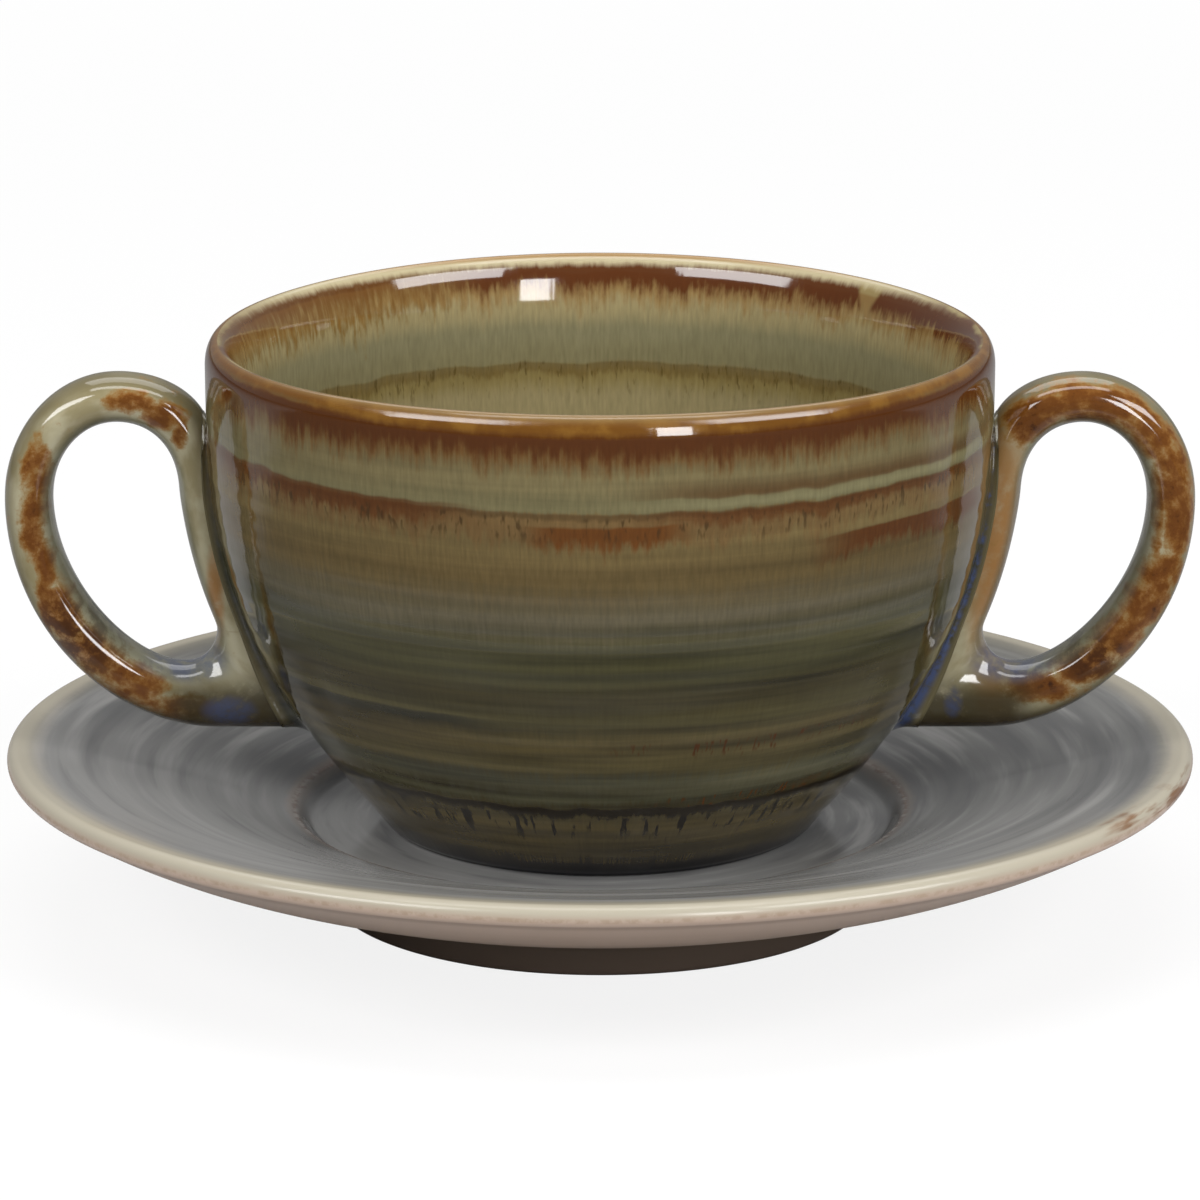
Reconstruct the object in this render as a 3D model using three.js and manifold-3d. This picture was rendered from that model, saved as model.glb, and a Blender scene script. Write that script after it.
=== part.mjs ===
// A two-handled bouillon cup standing on its saucer, in glazed porcelain.
// Millimetres, +Z up, with the origin on the table under the middle of the saucer.
// The handles point along -X and +X.

import * as THREE from 'three';
import { mergeVertices } from 'three/addons/utils/BufferGeometryUtils.js';
import Module from 'manifold-3d';

// Saucer: a plate turned about Z, with a sunk well for the cup
const SAUCER_RADIUS = 74.5;
const SAUCER_HEIGHT = 20.9;
const SAUCER_LIP_THICKNESS = 2.7;
const SAUCER_LIP_TURN = 9;
const SAUCER_FOOT_RADIUS = 34.2;
const SAUCER_FOOT_WIDTH = 4;
const SAUCER_FOOT_HEIGHT = 3.9;
const SAUCER_FOOT_ROUND = 0.8;
const SAUCER_RECESS_DEPTH = 4.4;
const SAUCER_FLOOR_THICKNESS = 6.1;
const SAUCER_FLANGE_SWELL = 0.9;
const SAUCER_UNDER_SAG = 1.45;
const FLANGE_SKEW = 1;
const UNDER_SKEW = 2;
const WELL_CLEARANCE = 9.2;
const WELL_STEP_WIDTH = 2.5;
const WELL_STEP_HEIGHT = 1.7;

// Bowl: a cup turned about Z, whose wall swells from its foot to an upright rim
const CUP_HEIGHT = 62.7;
const CUP_RIM_RADIUS = 49;
const CUP_RIM_ROUND_WIDTH = 1.5;
const CUP_RIM_ROUND_HEIGHT = 3;
const CUP_LIP_TAPER_WIDTH = 3;
const CUP_LIP_TAPER_HEIGHT = 9;
const CUP_FOOT_RADIUS = 27;
const CUP_FOOT_WIDTH = 4;
const CUP_FOOT_ROUND = 0.6;
const CUP_RECESS_DEPTH = 2;
const CUP_FLOOR_THICKNESS = 4.5;
const WALL_SWELL = 2.9;
const WALL_FLARE = 1.16;
const CAVITY_SWELL = 2.2;
const CAVITY_CORNER = 4;

// Handles: ear-shaped loops with a back strip lying along the wall
const HANDLE_REACH = 25.3;
const HANDLE_DEPTH = 9;
const HANDLE_DROP = 5.5;
const LIMB_THICKNESS = 6;
const LIMB_ROUND_DEPTH = 3.4;
const LIMB_ROUND_WIDTH = 2.6;
const BACK_STRIP_THICKNESS = 4.2;
const HEEL_THICKNESS = 8.2;
const HEEL_LENGTH = 12;
const FINGER_HOLE_HEIGHT = 31.2;
const CROWN_WIDTH = 8.2;
const SHOULDER_DROP = 10;
const LOWER_BEND_WIDTH = 16;
const LOWER_CORNER_HEIGHT = 5;
const UPPER_CORNER_HEIGHT = 9;
const ROOT_LEAN = 2.4;

// How far each end of a bend runs on towards its corner, as a share
const CROWN_PULL = 0.55;
const STRIP_CORNER_PULL = 0.6;
const HOLE_LIMB_PULL = 0.52;
const HOLE_BEND_PULL = 0.4;
const OUTER_HEEL_PULL = 0.5;
const OUTER_LIMB_PULL = 0.57;
const CROWN_ROOT_PULL = 0.69;
const ROOT_PULL = 0.5;

// Slip seams: the clay that sticks the back strips to the wall
const SLIP_THICKNESS = 0.8;
const SLIP_MARGIN = 0.35;
const JOINT_GAP = 0.3;

// Glaze colours and gloss
const CUP_COLOUR = 0x6e6448;
const HANDLE_COLOUR = 0x9a9a7c;
const SEAM_COLOUR = 0x6b7590;
const SAUCER_COLOUR = 0x8f9498;
const GLAZE_ROUGHNESS = 0.15;

// Fineness of the facets
const TURN_STEPS = 56;
const WALL_STEPS = 12;
const WALL_CROWDING = 1.3;
const CAVITY_CROWDING = 3;
const LIP_STEPS = 4;
const SAUCER_LIP_STEPS = 12;
const FLANGE_STEPS = 6;
const HANDLE_CURVE_STEPS = 7;
const STRIP_STEPS = 4;
const ROUND_STEPS = 3;
const MERGE_DISTANCE = 1e-4;

// Heights in the cup's own frame, with its foot at zero, and the seat in the saucer
const lipHeight = CUP_HEIGHT - CUP_RIM_ROUND_HEIGHT;
const crestRadius = CUP_RIM_RADIUS - CUP_RIM_ROUND_WIDTH;
const taperHeight = CUP_HEIGHT - CUP_LIP_TAPER_HEIGHT;
const seatHeight = SAUCER_RECESS_DEPTH + SAUCER_FLOOR_THICKNESS;
const crownTop = CUP_HEIGHT - HANDLE_DROP;
const holeTop = crownTop - LIMB_THICKNESS;
const holeBottom = holeTop - FINGER_HOLE_HEIGHT;
const heelBottom = holeBottom - HEEL_THICKNESS;
const handleOuter = CUP_RIM_RADIUS + HANDLE_REACH;
const holeOuter = handleOuter - LIMB_THICKNESS;
const shoulderHeight = holeTop - SHOULDER_DROP;
const crownCentre = holeOuter - CROWN_WIDTH;

const { lerp, degToRad } = THREE.MathUtils;
const wasm = await Module();
wasm.setup();

// Solids: a closed geometry as a solid that can be cut, and back again

function solidOf(geometry) {
  const bare = geometry.clone();
  bare.deleteAttribute('normal');
  bare.deleteAttribute('uv');
  const merged = mergeVertices(bare, MERGE_DISTANCE);
  return new wasm.Manifold(new wasm.Mesh({
    numProp: 3,
    vertProperties: merged.getAttribute('position').array,
    triVerts: new Uint32Array(merged.getIndex().array),
  }));
}

function geometryOf(solid) {
  const mesh = solid.getMesh();
  const geometry = new THREE.BufferGeometry();
  geometry.setAttribute('position', new THREE.BufferAttribute(mesh.vertProperties, 3));
  geometry.setIndex(new THREE.BufferAttribute(mesh.triVerts, 1));
  geometry.computeVertexNormals();
  return geometry;
}

// A profile of radius and height, from the axis underneath to the axis on top, turned about Z.
function turned(profile) {
  const geometry = new THREE.LatheGeometry(profile, TURN_STEPS);
  geometry.rotateX(Math.PI / 2);
  return geometry;
}

function point(radius, height) {
  return new THREE.Vector2(radius, height);
}

// Points on an ellipse from one angle to another, in degrees from straight out, both ends included.
function arcPoints(centre, halfWidth, halfHeight, fromAngle, toAngle, steps) {
  return Array.from({ length: steps + 1 }, (_, i) => {
    const angle = degToRad(lerp(fromAngle, toAngle, i / steps));
    return point(centre.x + halfWidth * Math.cos(angle), centre.y + halfHeight * Math.sin(angle));
  });
}

// Points from one point to another that sag below the straight line, or with a sag below zero swell above
// it, ends left out. A skew of 1 puts the most sag half way, and a higher skew puts it nearer the end.
function saggingPoints(from, to, sag, skew, steps) {
  const most = (skew / (skew + 1)) ** skew / (skew + 1);
  return Array.from({ length: steps - 1 }, (_, i) => {
    const share = (i + 1) / steps;
    const onLine = from.clone().lerp(to, share);
    return point(onLine.x, onLine.y - sag * share ** skew * (1 - share) / most);
  });
}

// Saucer

function saucerProfile() {
  const lipRound = SAUCER_LIP_THICKNESS / 2;
  const lipCentre = point(SAUCER_RADIUS - lipRound, SAUCER_HEIGHT - lipRound);
  const footInner = SAUCER_FOOT_RADIUS - SAUCER_FOOT_WIDTH;
  const wellFlat = CUP_FOOT_RADIUS + WELL_CLEARANCE;
  const wellEdge = point(wellFlat + WELL_STEP_WIDTH, seatHeight + WELL_STEP_HEIGHT);
  const underFoot = point(SAUCER_FOOT_RADIUS + SAUCER_FOOT_ROUND, SAUCER_FOOT_HEIGHT);
  const lip = arcPoints(
    lipCentre, lipRound, lipRound, SAUCER_LIP_TURN - 90, SAUCER_LIP_TURN + 90, SAUCER_LIP_STEPS);
  return [
    point(0, SAUCER_RECESS_DEPTH),
    point(footInner - SAUCER_FOOT_ROUND, SAUCER_RECESS_DEPTH),
    point(footInner, SAUCER_RECESS_DEPTH - SAUCER_FOOT_ROUND),
    point(footInner, SAUCER_FOOT_ROUND),
    point(footInner + SAUCER_FOOT_ROUND, 0),
    point(SAUCER_FOOT_RADIUS - SAUCER_FOOT_ROUND, 0),
    point(SAUCER_FOOT_RADIUS, SAUCER_FOOT_ROUND),
    point(SAUCER_FOOT_RADIUS, SAUCER_FOOT_HEIGHT - SAUCER_FOOT_ROUND),
    underFoot,
    ...saggingPoints(underFoot, lip[0], SAUCER_UNDER_SAG, UNDER_SKEW, FLANGE_STEPS),
    ...lip,
    ...saggingPoints(lip[SAUCER_LIP_STEPS], wellEdge, -SAUCER_FLANGE_SWELL, FLANGE_SKEW, FLANGE_STEPS),
    wellEdge,
    point(wellFlat + WELL_STEP_WIDTH / 2, seatHeight + WELL_STEP_HEIGHT / 2),
    point(wellFlat, seatHeight),
    point(0, seatHeight),
  ];
}

// Bowl

// Outer radius at a height over the foot: from the foot's radius, it swells fast and ends upright.
function wallRadius(height) {
  const share = Math.min(Math.max(height / lipHeight, 0), 1);
  const swell = (1 - (1 - share) ** WALL_SWELL) ** WALL_FLARE;
  return CUP_FOOT_RADIUS + (CUP_RIM_RADIUS - CUP_FOOT_RADIUS) * swell;
}

// A point on the outer wall, moved straight out of its surface by an offset.
function wallPoint(height, offset) {
  const step = lipHeight / 1000;
  const growth = wallRadius(height + step) - wallRadius(height - step);
  const outward = point(2 * step, -growth).normalize();
  return point(wallRadius(height), height).addScaledVector(outward, offset);
}

function wallPoints(offset) {
  return Array.from({ length: WALL_STEPS }, (_, i) => {
    const share = (i + 1) / (WALL_STEPS + 1);
    return wallPoint(lipHeight * share ** WALL_CROWDING, offset);
  });
}

// The cavity under the lip: a superellipse with a small corner round a level floor.
function cavityPoints() {
  const floor = CUP_RECESS_DEPTH + CUP_FLOOR_THICKNESS;
  const mouth = crestRadius - CUP_LIP_TAPER_WIDTH;
  return Array.from({ length: WALL_STEPS - 1 }, (_, i) => {
    const share = ((WALL_STEPS - 1 - i) / WALL_STEPS) ** CAVITY_CROWDING;
    const radius = mouth * (1 - (1 - share) ** CAVITY_SWELL) ** (1 / CAVITY_CORNER);
    return point(radius, floor + (taperHeight - floor) * share);
  });
}

// The lip: a short round outside the crest, and a longer taper inside it.
function lipPoints() {
  const outerCentre = point(crestRadius, lipHeight);
  const innerCentre = point(crestRadius, taperHeight);
  const outer = arcPoints(outerCentre, CUP_RIM_ROUND_WIDTH, CUP_RIM_ROUND_HEIGHT, 0, 90, LIP_STEPS);
  const inner = arcPoints(innerCentre, CUP_LIP_TAPER_WIDTH, CUP_LIP_TAPER_HEIGHT, 90, 180, LIP_STEPS);
  return [...outer, ...inner.slice(1)];
}

function bowlProfile() {
  const footInner = CUP_FOOT_RADIUS - CUP_FOOT_WIDTH;
  return [
    point(0, CUP_RECESS_DEPTH),
    point(footInner - CUP_FOOT_ROUND, CUP_RECESS_DEPTH),
    point(footInner, CUP_RECESS_DEPTH - CUP_FOOT_ROUND),
    point(footInner + CUP_FOOT_ROUND, 0),
    point(CUP_FOOT_RADIUS - CUP_FOOT_ROUND, 0),
    point(wallRadius(CUP_FOOT_ROUND), CUP_FOOT_ROUND),
    ...wallPoints(0),
    ...lipPoints(),
    ...cavityPoints(),
    point(0, CUP_RECESS_DEPTH + CUP_FLOOR_THICKNESS),
  ];
}

// The bowl without its cavity, grown by an offset: what a handle or a seam is cut against.
function wallSolid(offset) {
  const lowest = wallPoint(0, offset);
  const highest = wallPoint(lipHeight, offset);
  return solidOf(turned([
    point(0, lowest.y),
    lowest,
    ...wallPoints(offset),
    highest,
    point(0, highest.y),
  ]));
}

// Handles

// A curve from where the path has come to an end point, drawn round a corner that it doesn't reach.
function bend(path, corner, end, startPull, endPull) {
  const start = path.currentPoint.clone();
  const leave = start.lerp(corner, startPull);
  const arrive = end.clone().lerp(corner, endPull);
  path.bezierCurveTo(leave.x, leave.y, arrive.x, arrive.y, end.x, end.y);
}

// The finger hole: up along the back strip, over the crown, down the limb and round the lower bend.
function fingerHole() {
  const widest = point(holeOuter, shoulderHeight);
  const top = point(crownCentre, holeTop);
  const bottom = point(holeOuter - LOWER_BEND_WIDTH, holeBottom);
  const strip = Array.from({ length: STRIP_STEPS + 1 }, (_, i) => {
    const height = lerp(holeBottom + LOWER_CORNER_HEIGHT, holeTop - UPPER_CORNER_HEIGHT, i / STRIP_STEPS);
    return point(wallRadius(height) + BACK_STRIP_THICKNESS, height);
  });
  const low = strip[0];
  const high = strip[STRIP_STEPS];
  const hole = new THREE.Path(strip);
  bend(hole, point(high.x, holeTop), top, STRIP_CORNER_PULL, STRIP_CORNER_PULL);
  bend(hole, point(holeOuter, holeTop), widest, CROWN_PULL, CROWN_PULL);
  bend(hole, point(holeOuter, holeBottom), bottom, HOLE_LIMB_PULL, HOLE_BEND_PULL);
  bend(hole, point(low.x, holeBottom), low, STRIP_CORNER_PULL, STRIP_CORNER_PULL);
  return hole;
}

// The loop's outline: along the heel, up the outer limb and over the crown back into the wall.
function handleOutline() {
  const insideX = wallRadius(heelBottom) - BACK_STRIP_THICKNESS;
  const widest = point(handleOuter, shoulderHeight);
  const crown = point(crownCentre, crownTop);
  const root = point(wallRadius(holeTop), holeTop);
  const outline = new THREE.Shape();
  outline.moveTo(insideX, heelBottom);
  outline.lineTo(wallRadius(heelBottom) + HEEL_LENGTH, heelBottom);
  bend(outline, point(handleOuter, heelBottom), widest, OUTER_HEEL_PULL, OUTER_LIMB_PULL);
  bend(outline, point(handleOuter, crownTop), crown, CROWN_PULL, CROWN_PULL);
  bend(outline, point(root.x + ROOT_LEAN, crownTop), root, CROWN_ROOT_PULL, ROOT_PULL);
  outline.lineTo(insideX, holeTop);
  return outline;
}

// An outline in the plane of X and Z, thickened along Y about that plane.
function thickened(shape, settings) {
  const geometry = new THREE.ExtrudeGeometry(shape, {
    curveSegments: HANDLE_CURVE_STEPS,
    steps: 1,
    ...settings,
  });
  geometry.translate(0, 0, -settings.depth / 2);
  geometry.rotateX(Math.PI / 2);
  return solidOf(geometry);
}

function handleGeometry() {
  const loop = handleOutline();
  loop.holes.push(fingerHole());
  const ear = thickened(loop, {
    depth: HANDLE_DEPTH - 2 * LIMB_ROUND_DEPTH,
    bevelThickness: LIMB_ROUND_DEPTH,
    bevelSize: LIMB_ROUND_WIDTH,
    bevelOffset: -LIMB_ROUND_WIDTH,
    bevelSegments: ROUND_STEPS,
  });
  return geometryOf(ear.subtract(wallSolid(JOINT_GAP + SLIP_THICKNESS + JOINT_GAP)));
}

// The slip fills the handle's footprint on the wall and squeezes out a little all round it.
function slipGeometry() {
  const footprint = thickened(handleOutline(), {
    depth: HANDLE_DEPTH,
    bevelThickness: SLIP_MARGIN,
    bevelSize: SLIP_MARGIN,
    bevelSegments: 1,
  });
  const layer = wallSolid(JOINT_GAP + SLIP_THICKNESS).subtract(wallSolid(JOINT_GAP));
  return geometryOf(footprint.intersect(layer));
}

// The assembly

function piece(name, geometry, color) {
  const material = new THREE.MeshStandardMaterial({ color, roughness: GLAZE_ROUGHNESS, metalness: 0 });
  const mesh = new THREE.Mesh(geometry, material);
  mesh.name = name;
  return mesh;
}

// A handle and its seam on one side of the bowl, turned about Z to face that side.
function handleSide(side, turn) {
  const group = new THREE.Group();
  group.add(piece(`${side}_handle`, handleGeometry(), HANDLE_COLOUR));
  group.add(piece(`${side}_slip_seam`, slipGeometry(), SEAM_COLOUR));
  group.rotation.z = turn;
  return group;
}

const cup = new THREE.Group();
cup.add(piece('bowl', turned(bowlProfile()), CUP_COLOUR));
cup.add(handleSide('left', Math.PI));
cup.add(handleSide('right', 0));
cup.position.z = seatHeight;

const bouillonCup = new THREE.Group();
bouillonCup.add(piece('saucer', turned(saucerProfile()), SAUCER_COLOUR));
bouillonCup.add(cup);

export default bouillonCup;
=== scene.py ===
import math
from collections import namedtuple
from functools import reduce

import bpy
import numpy as np
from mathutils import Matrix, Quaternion, Vector


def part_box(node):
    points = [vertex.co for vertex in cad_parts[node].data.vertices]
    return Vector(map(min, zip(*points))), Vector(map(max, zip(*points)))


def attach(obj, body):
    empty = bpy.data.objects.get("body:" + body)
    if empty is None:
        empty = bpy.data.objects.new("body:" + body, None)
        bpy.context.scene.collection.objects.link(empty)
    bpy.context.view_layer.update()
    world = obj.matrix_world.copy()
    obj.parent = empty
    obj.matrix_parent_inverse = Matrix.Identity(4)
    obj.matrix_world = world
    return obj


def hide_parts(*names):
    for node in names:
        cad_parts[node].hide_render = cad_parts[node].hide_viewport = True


bl_info = {
    "name": "Bouillon cup",
    "version": (1, 0, 0),
    "blender": (4, 5, 0),
    "location": "View3D > Sidebar > Bouillon cup",
    "description": "A two-handled cup in a running glaze on its saucer, with a white studio round it",
    "category": "Object",
}

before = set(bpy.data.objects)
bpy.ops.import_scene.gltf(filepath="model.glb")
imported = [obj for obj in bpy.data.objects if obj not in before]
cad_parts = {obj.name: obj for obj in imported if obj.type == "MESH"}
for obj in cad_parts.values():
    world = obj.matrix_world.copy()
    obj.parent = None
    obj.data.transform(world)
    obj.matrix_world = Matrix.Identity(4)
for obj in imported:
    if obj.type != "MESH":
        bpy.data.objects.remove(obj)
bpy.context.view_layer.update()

MM = 0.001
SAUCER_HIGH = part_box("saucer")[1]
BOWL_LOW, BOWL_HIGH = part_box("bowl")
HANDLE_LOW, HANDLE_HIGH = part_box("right_handle")
SEAT_HEIGHT = BOWL_LOW.z

# Fineness of the meshes
TURN_STEPS = 288
POLE_RADIUS = 0.5 * MM
SLOPE_STEP = 0.05 * MM
FOOT_EDGE_STEPS = 6
FOOT_FILLET_STEPS = 5
SAUCER_RECESS_STEPS = 10
SAUCER_UNDER_STEPS = 24
SAUCER_LIP_STEPS = 31
FLANGE_STEPS = 110
WELL_EDGE_STEPS = 17
WELL_FLOOR_STEPS = 30
BOWL_RECESS_STEPS = 8
BOWL_WALL_STEPS = 150
OUTER_LIP_STEPS = 24
INNER_LIP_STEPS = 40
CAVITY_STEPS = 90
BOWL_FLOOR_STEPS = 12
HANDLE_TURN_STEPS = 56
STRIP_STEPS = 60
ROOT_INSIDE_STEPS = 20
ROOT_BEND_STEPS = 40
CROWN_STEPS = 54
LIMB_STEPS = 96
HEEL_STEPS = 36
HEEL_INSIDE_STEPS = 24
SEAM_STEPS = 260
SEAM_FILLET_STEPS = 10
SEAM_RAYS = 4 * SEAM_STEPS
SEAM_RAY_STEPS = 400
SEAM_SPARE_ROWS = 2.0
SOFTENING_PASSES = 10

# How the sag of the saucer's underside leans outwards, as an exponent
UNDER_SKEW = 2.0

# Where the round outer edge of each foot ring ends, in degrees
SAUCER_FOOT_END = 360.0
BOWL_FOOT_END = 340.0

# Rings brushed on the saucer's flange and thrown in the bowl's wall: their two widths, and the stretches
# over which they start and end
SAUCER_RINGS = (3.1 * MM, 1.7 * MM)
SAUCER_RINGS_START = (40.0 * MM, 44.0 * MM)
SAUCER_RINGS_END = (68.0 * MM, 71.0 * MM)
BOWL_RINGS = (4.3 * MM, 2.6 * MM)
BOWL_RINGS_START = (2.0 * MM, 8.0 * MM)
BOWL_RINGS_END = (50.0 * MM, 58.0 * MM)

# How far the ends of a handle's bends are pulled to their corners, as shares
STRIP_CORNER_PULL = 0.6
CROWN_PULL = 0.55
HOLE_LIMB_PULL = 0.52
HOLE_BEND_PULL = 0.4
ROOT_PULL = 0.5
CROWN_ROOT_PULL = 0.69
OUTER_LIMB_PULL = 0.57
OUTER_HEEL_PULL = 0.5
EVEN_PULL = 0.33

# Seams: the turn to both sides within which a joint is looked for, in radians, how much farther out the way
# up the handle is measured, as a share, how deep the fillet's ends and its hidden edge lie, and how far up
# from the heel it is wider
SEAM_HALF_TURN = 2.5
SEAM_CLIMB = 0.04
SEAM_TUCK = 0.06 * MM
SEAM_INSIDE = 0.5 * MM
SEAM_HEEL_HEIGHT = 16.0 * MM

# Gloss and ripple of the glaze
CUP_IOR = 1.58
SAUCER_IOR = 1.42
RIPPLE_STRENGTH = 0.25
RIPPLE_DEPTH = 0.1 * MM

# Where the glaze is placed on the cup, in mm
CUP_FOOT_MM = SEAT_HEIGHT / MM
CUP_TOP_MM = (BOWL_HIGH.z - BOWL_LOW.z) / MM
STREAK_RADIUS_MM = BOWL_HIGH.x / MM

# The floor: how white it is to the camera, how much of that glows close by, the stretches in metres over
# which its paper pales behind the cup and round it and the glow becomes full, and its depth under the foot
FLOOR_WHITE = 0.9
FLOOR_GLOW = 0.86
FLOOR_BEHIND = (0.03, 0.09)
FLOOR_NEAR = (0.14, 0.085)
FLOOR_FAR = (0.25, 0.9)
FLOOR_DROP = 0.1 * MM
WHITE = (1.0, 1.0, 1.0, 1.0)

# How far a direction leads to the back where the backdrop starts and where it is full
BACKDROP_EDGE = (-0.1, 0.6)

# Lamps: angles from the front and over the floor in degrees, distance, width and height in metres, roll in
# degrees, and the stage setting that gives the power
Lamp = namedtuple("Lamp", "name azimuth elevation distance width height roll power")
LAMPS = (
    Lamp("key_lamp", 21.0, 13.5, 1.2, 0.22, 0.46, 0.0, "key_power"),
    Lamp("left_softbox", -49.0, 36.0, 1.2, 0.72, 0.38, 12.0, "box_power"),
    Lamp("right_softbox", 55.0, 36.0, 1.2, 0.72, 0.38, -12.0, "box_power"),
    Lamp("overhead_lamp", 0.0, 84.0, 1.1, 1.0, 0.3, 0.0, "overhead_power"),
    Lamp("back_lamp", 180.0, 52.0, 1.2, 1.0, 0.6, 0.0, "back_power"),
)

# The camera, as the photograph was taken
VIEW_DISTANCE = 0.8
VIEW_ELEVATION = math.radians(14.63)
VIEW_AIM = Vector((0.0, 0.0, 0.0385))
VIEW_LENS = 191.4
VIEW_SENSOR = 36.0


def srgb(red, green, blue):
    """A colour given as screen values from 0 to 255, as the linear values that shaders use."""
    shares = [value / 255.0 for value in (red, green, blue)]
    return tuple(s / 12.92 if s <= 0.04045 else ((s + 0.055) / 1.055) ** 2.4 for s in shares)


def length(name, description, default):
    """A size in metres that the sidebar shows as a length."""
    return bpy.props.FloatProperty(
        name=name, description=description, default=default, precision=5, unit="LENGTH", subtype="DISTANCE")


def share(name, description, default):
    """A bare number, such as a share or an exponent."""
    return bpy.props.FloatProperty(name=name, description=description, default=default)


def colour(name, description, red, green, blue):
    """A glaze colour, given as screen values from 0 to 255."""
    return bpy.props.FloatVectorProperty(
        name=name, description=description, default=srgb(red, green, blue),
        size=3, min=0.0, max=1.0, subtype="COLOR")


class SaucerSizes(bpy.types.PropertyGroup):
    """Sizes of the saucer"""

    radius: length("Radius", "From the axis to the outside of the lip", SAUCER_HIGH.x)
    height: length("Height", "From the table to the top of the lip", SAUCER_HIGH.z)
    lip_thickness: length("Lip thickness", "Across the round lip", 2.7 * MM)
    lip_turn: bpy.props.FloatProperty(
        name="Lip turn", description="How far the lip leans out",
        default=math.radians(9.0), subtype="ANGLE")
    foot_radius: length("Foot radius", "Outside of the foot ring", 34.2 * MM)
    foot_width: length("Foot width", "Across the foot ring", 4.0 * MM)
    foot_height: length("Foot height", "From the table to the underside", 3.9 * MM)
    foot_round: length("Foot round", "Radius of the foot ring's edges", 0.8 * MM)
    recess_depth: length("Recess depth", "Hollow inside the foot ring", 4.4 * MM)
    flange_swell: length("Flange swell", "How far the flange swells over a straight slope", 0.9 * MM)
    under_sag: length("Under sag", "How far the underside sags under a straight slope", 1.45 * MM)
    well_radius: length("Well radius", "Flat floor that the cup stands on", 36.2 * MM)
    well_step_width: length("Well step width", "Width of the step round the well", 2.5 * MM)
    well_step_height: length("Well step height", "Height of the step round the well", 1.7 * MM)
    warp: length("Warp", "How far the front of the lip stands up, and the back sinks", 0.45 * MM)
    ring_relief: length("Ring relief", "Height of the brushed rings", 0.01 * MM)


class BowlSizes(bpy.types.PropertyGroup):
    """Sizes of the cup's bowl, with heights over its own foot"""

    rim_radius: length("Rim radius", "From the axis to the outside of the rim", BOWL_HIGH.x)
    height: length("Height", "From the foot to the crest of the lip", BOWL_HIGH.z - BOWL_LOW.z)
    rim_round_width: length("Rim round width", "Crest to the outside of the lip", 1.5 * MM)
    rim_round_height: length("Rim round height", "Height of the round outside the crest", 3.0 * MM)
    lip_taper_width: length("Lip taper width", "Crest to the inside of the wall", 3.0 * MM)
    lip_taper_height: length("Lip taper height", "Height of the taper inside the crest", 9.0 * MM)
    foot_radius: length("Foot radius", "Outside of the foot", 27.0 * MM)
    foot_width: length("Foot width", "Across the foot ring", 4.0 * MM)
    foot_round: length("Foot round", "Radius of the foot ring's edges", 0.6 * MM)
    recess_depth: length("Recess depth", "Hollow inside the foot ring", 2.0 * MM)
    floor_thickness: length("Floor thickness", "From the recess to the inside floor", 4.5 * MM)
    wall_swell: share("Wall swell", "How fast the wall swells over the foot", 2.9)
    wall_flare: share("Wall flare", "How straight the wall leaves the foot", 1.16)
    cavity_swell: share("Cavity swell", "How fast the cavity widens over its floor", 2.2)
    cavity_corner: share("Cavity corner", "How tight the corner round the floor is", 4.0)
    rim_dip: length("Rim dip", "How far the rim sinks towards the handles", 0.8 * MM)
    ring_relief: length("Ring relief", "Height of the throwing rings", 0.03 * MM)


class HandleSizes(bpy.types.PropertyGroup):
    """Sizes of the two handles and of the seams where they join the bowl"""

    outer: length("Reach", "From the axis to the outside of the loop", HANDLE_HIGH.x)
    crown_top: length("Crown top", "Height of the top over the table", HANDLE_HIGH.z)
    heel_bottom: length("Heel bottom", "Height of the underside over the table", HANDLE_LOW.z)
    depth: length("Depth", "From the front of the loop to its back", HANDLE_HIGH.y - HANDLE_LOW.y)
    limb_thickness: length("Limb thickness", "Thickness of the limb and the crown", 6.0 * MM)
    strip_thickness: length("Strip thickness", "How far the back strip stands off the wall", 4.2 * MM)
    strip_sink: length("Strip sink", "How far the back strip goes into the wall", 2.0 * MM)
    heel_thickness: length("Heel thickness", "From the underside to the finger hole", 8.2 * MM)
    heel_length: length("Heel length", "Straight part of the underside", 12.0 * MM)
    crown_width: length("Crown width", "From the hole's outer edge to its top", 8.2 * MM)
    shoulder_drop: length("Shoulder drop", "From the hole's top to its widest place", 10.0 * MM)
    lower_bend_width: length("Lower bend width", "From the hole's outer edge to its bottom", 16.0 * MM)
    lower_corner: length("Lower corner", "Height of the hole's lower corner", 5.0 * MM)
    upper_corner: length("Upper corner", "Height of the hole's upper corner", 9.0 * MM)
    root_lean: length("Root lean", "How far the root leans off the wall", 2.4 * MM)
    section_power: share("Section power", "2 is an oval limb, and more is a squarer one", 2.35)
    seam_width: length("Seam width", "Width of the fillet round the joint", 1.3 * MM)
    seam_heel_width: length("Seam heel width", "Added width of the fillet at the heel", 1.5 * MM)


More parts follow.
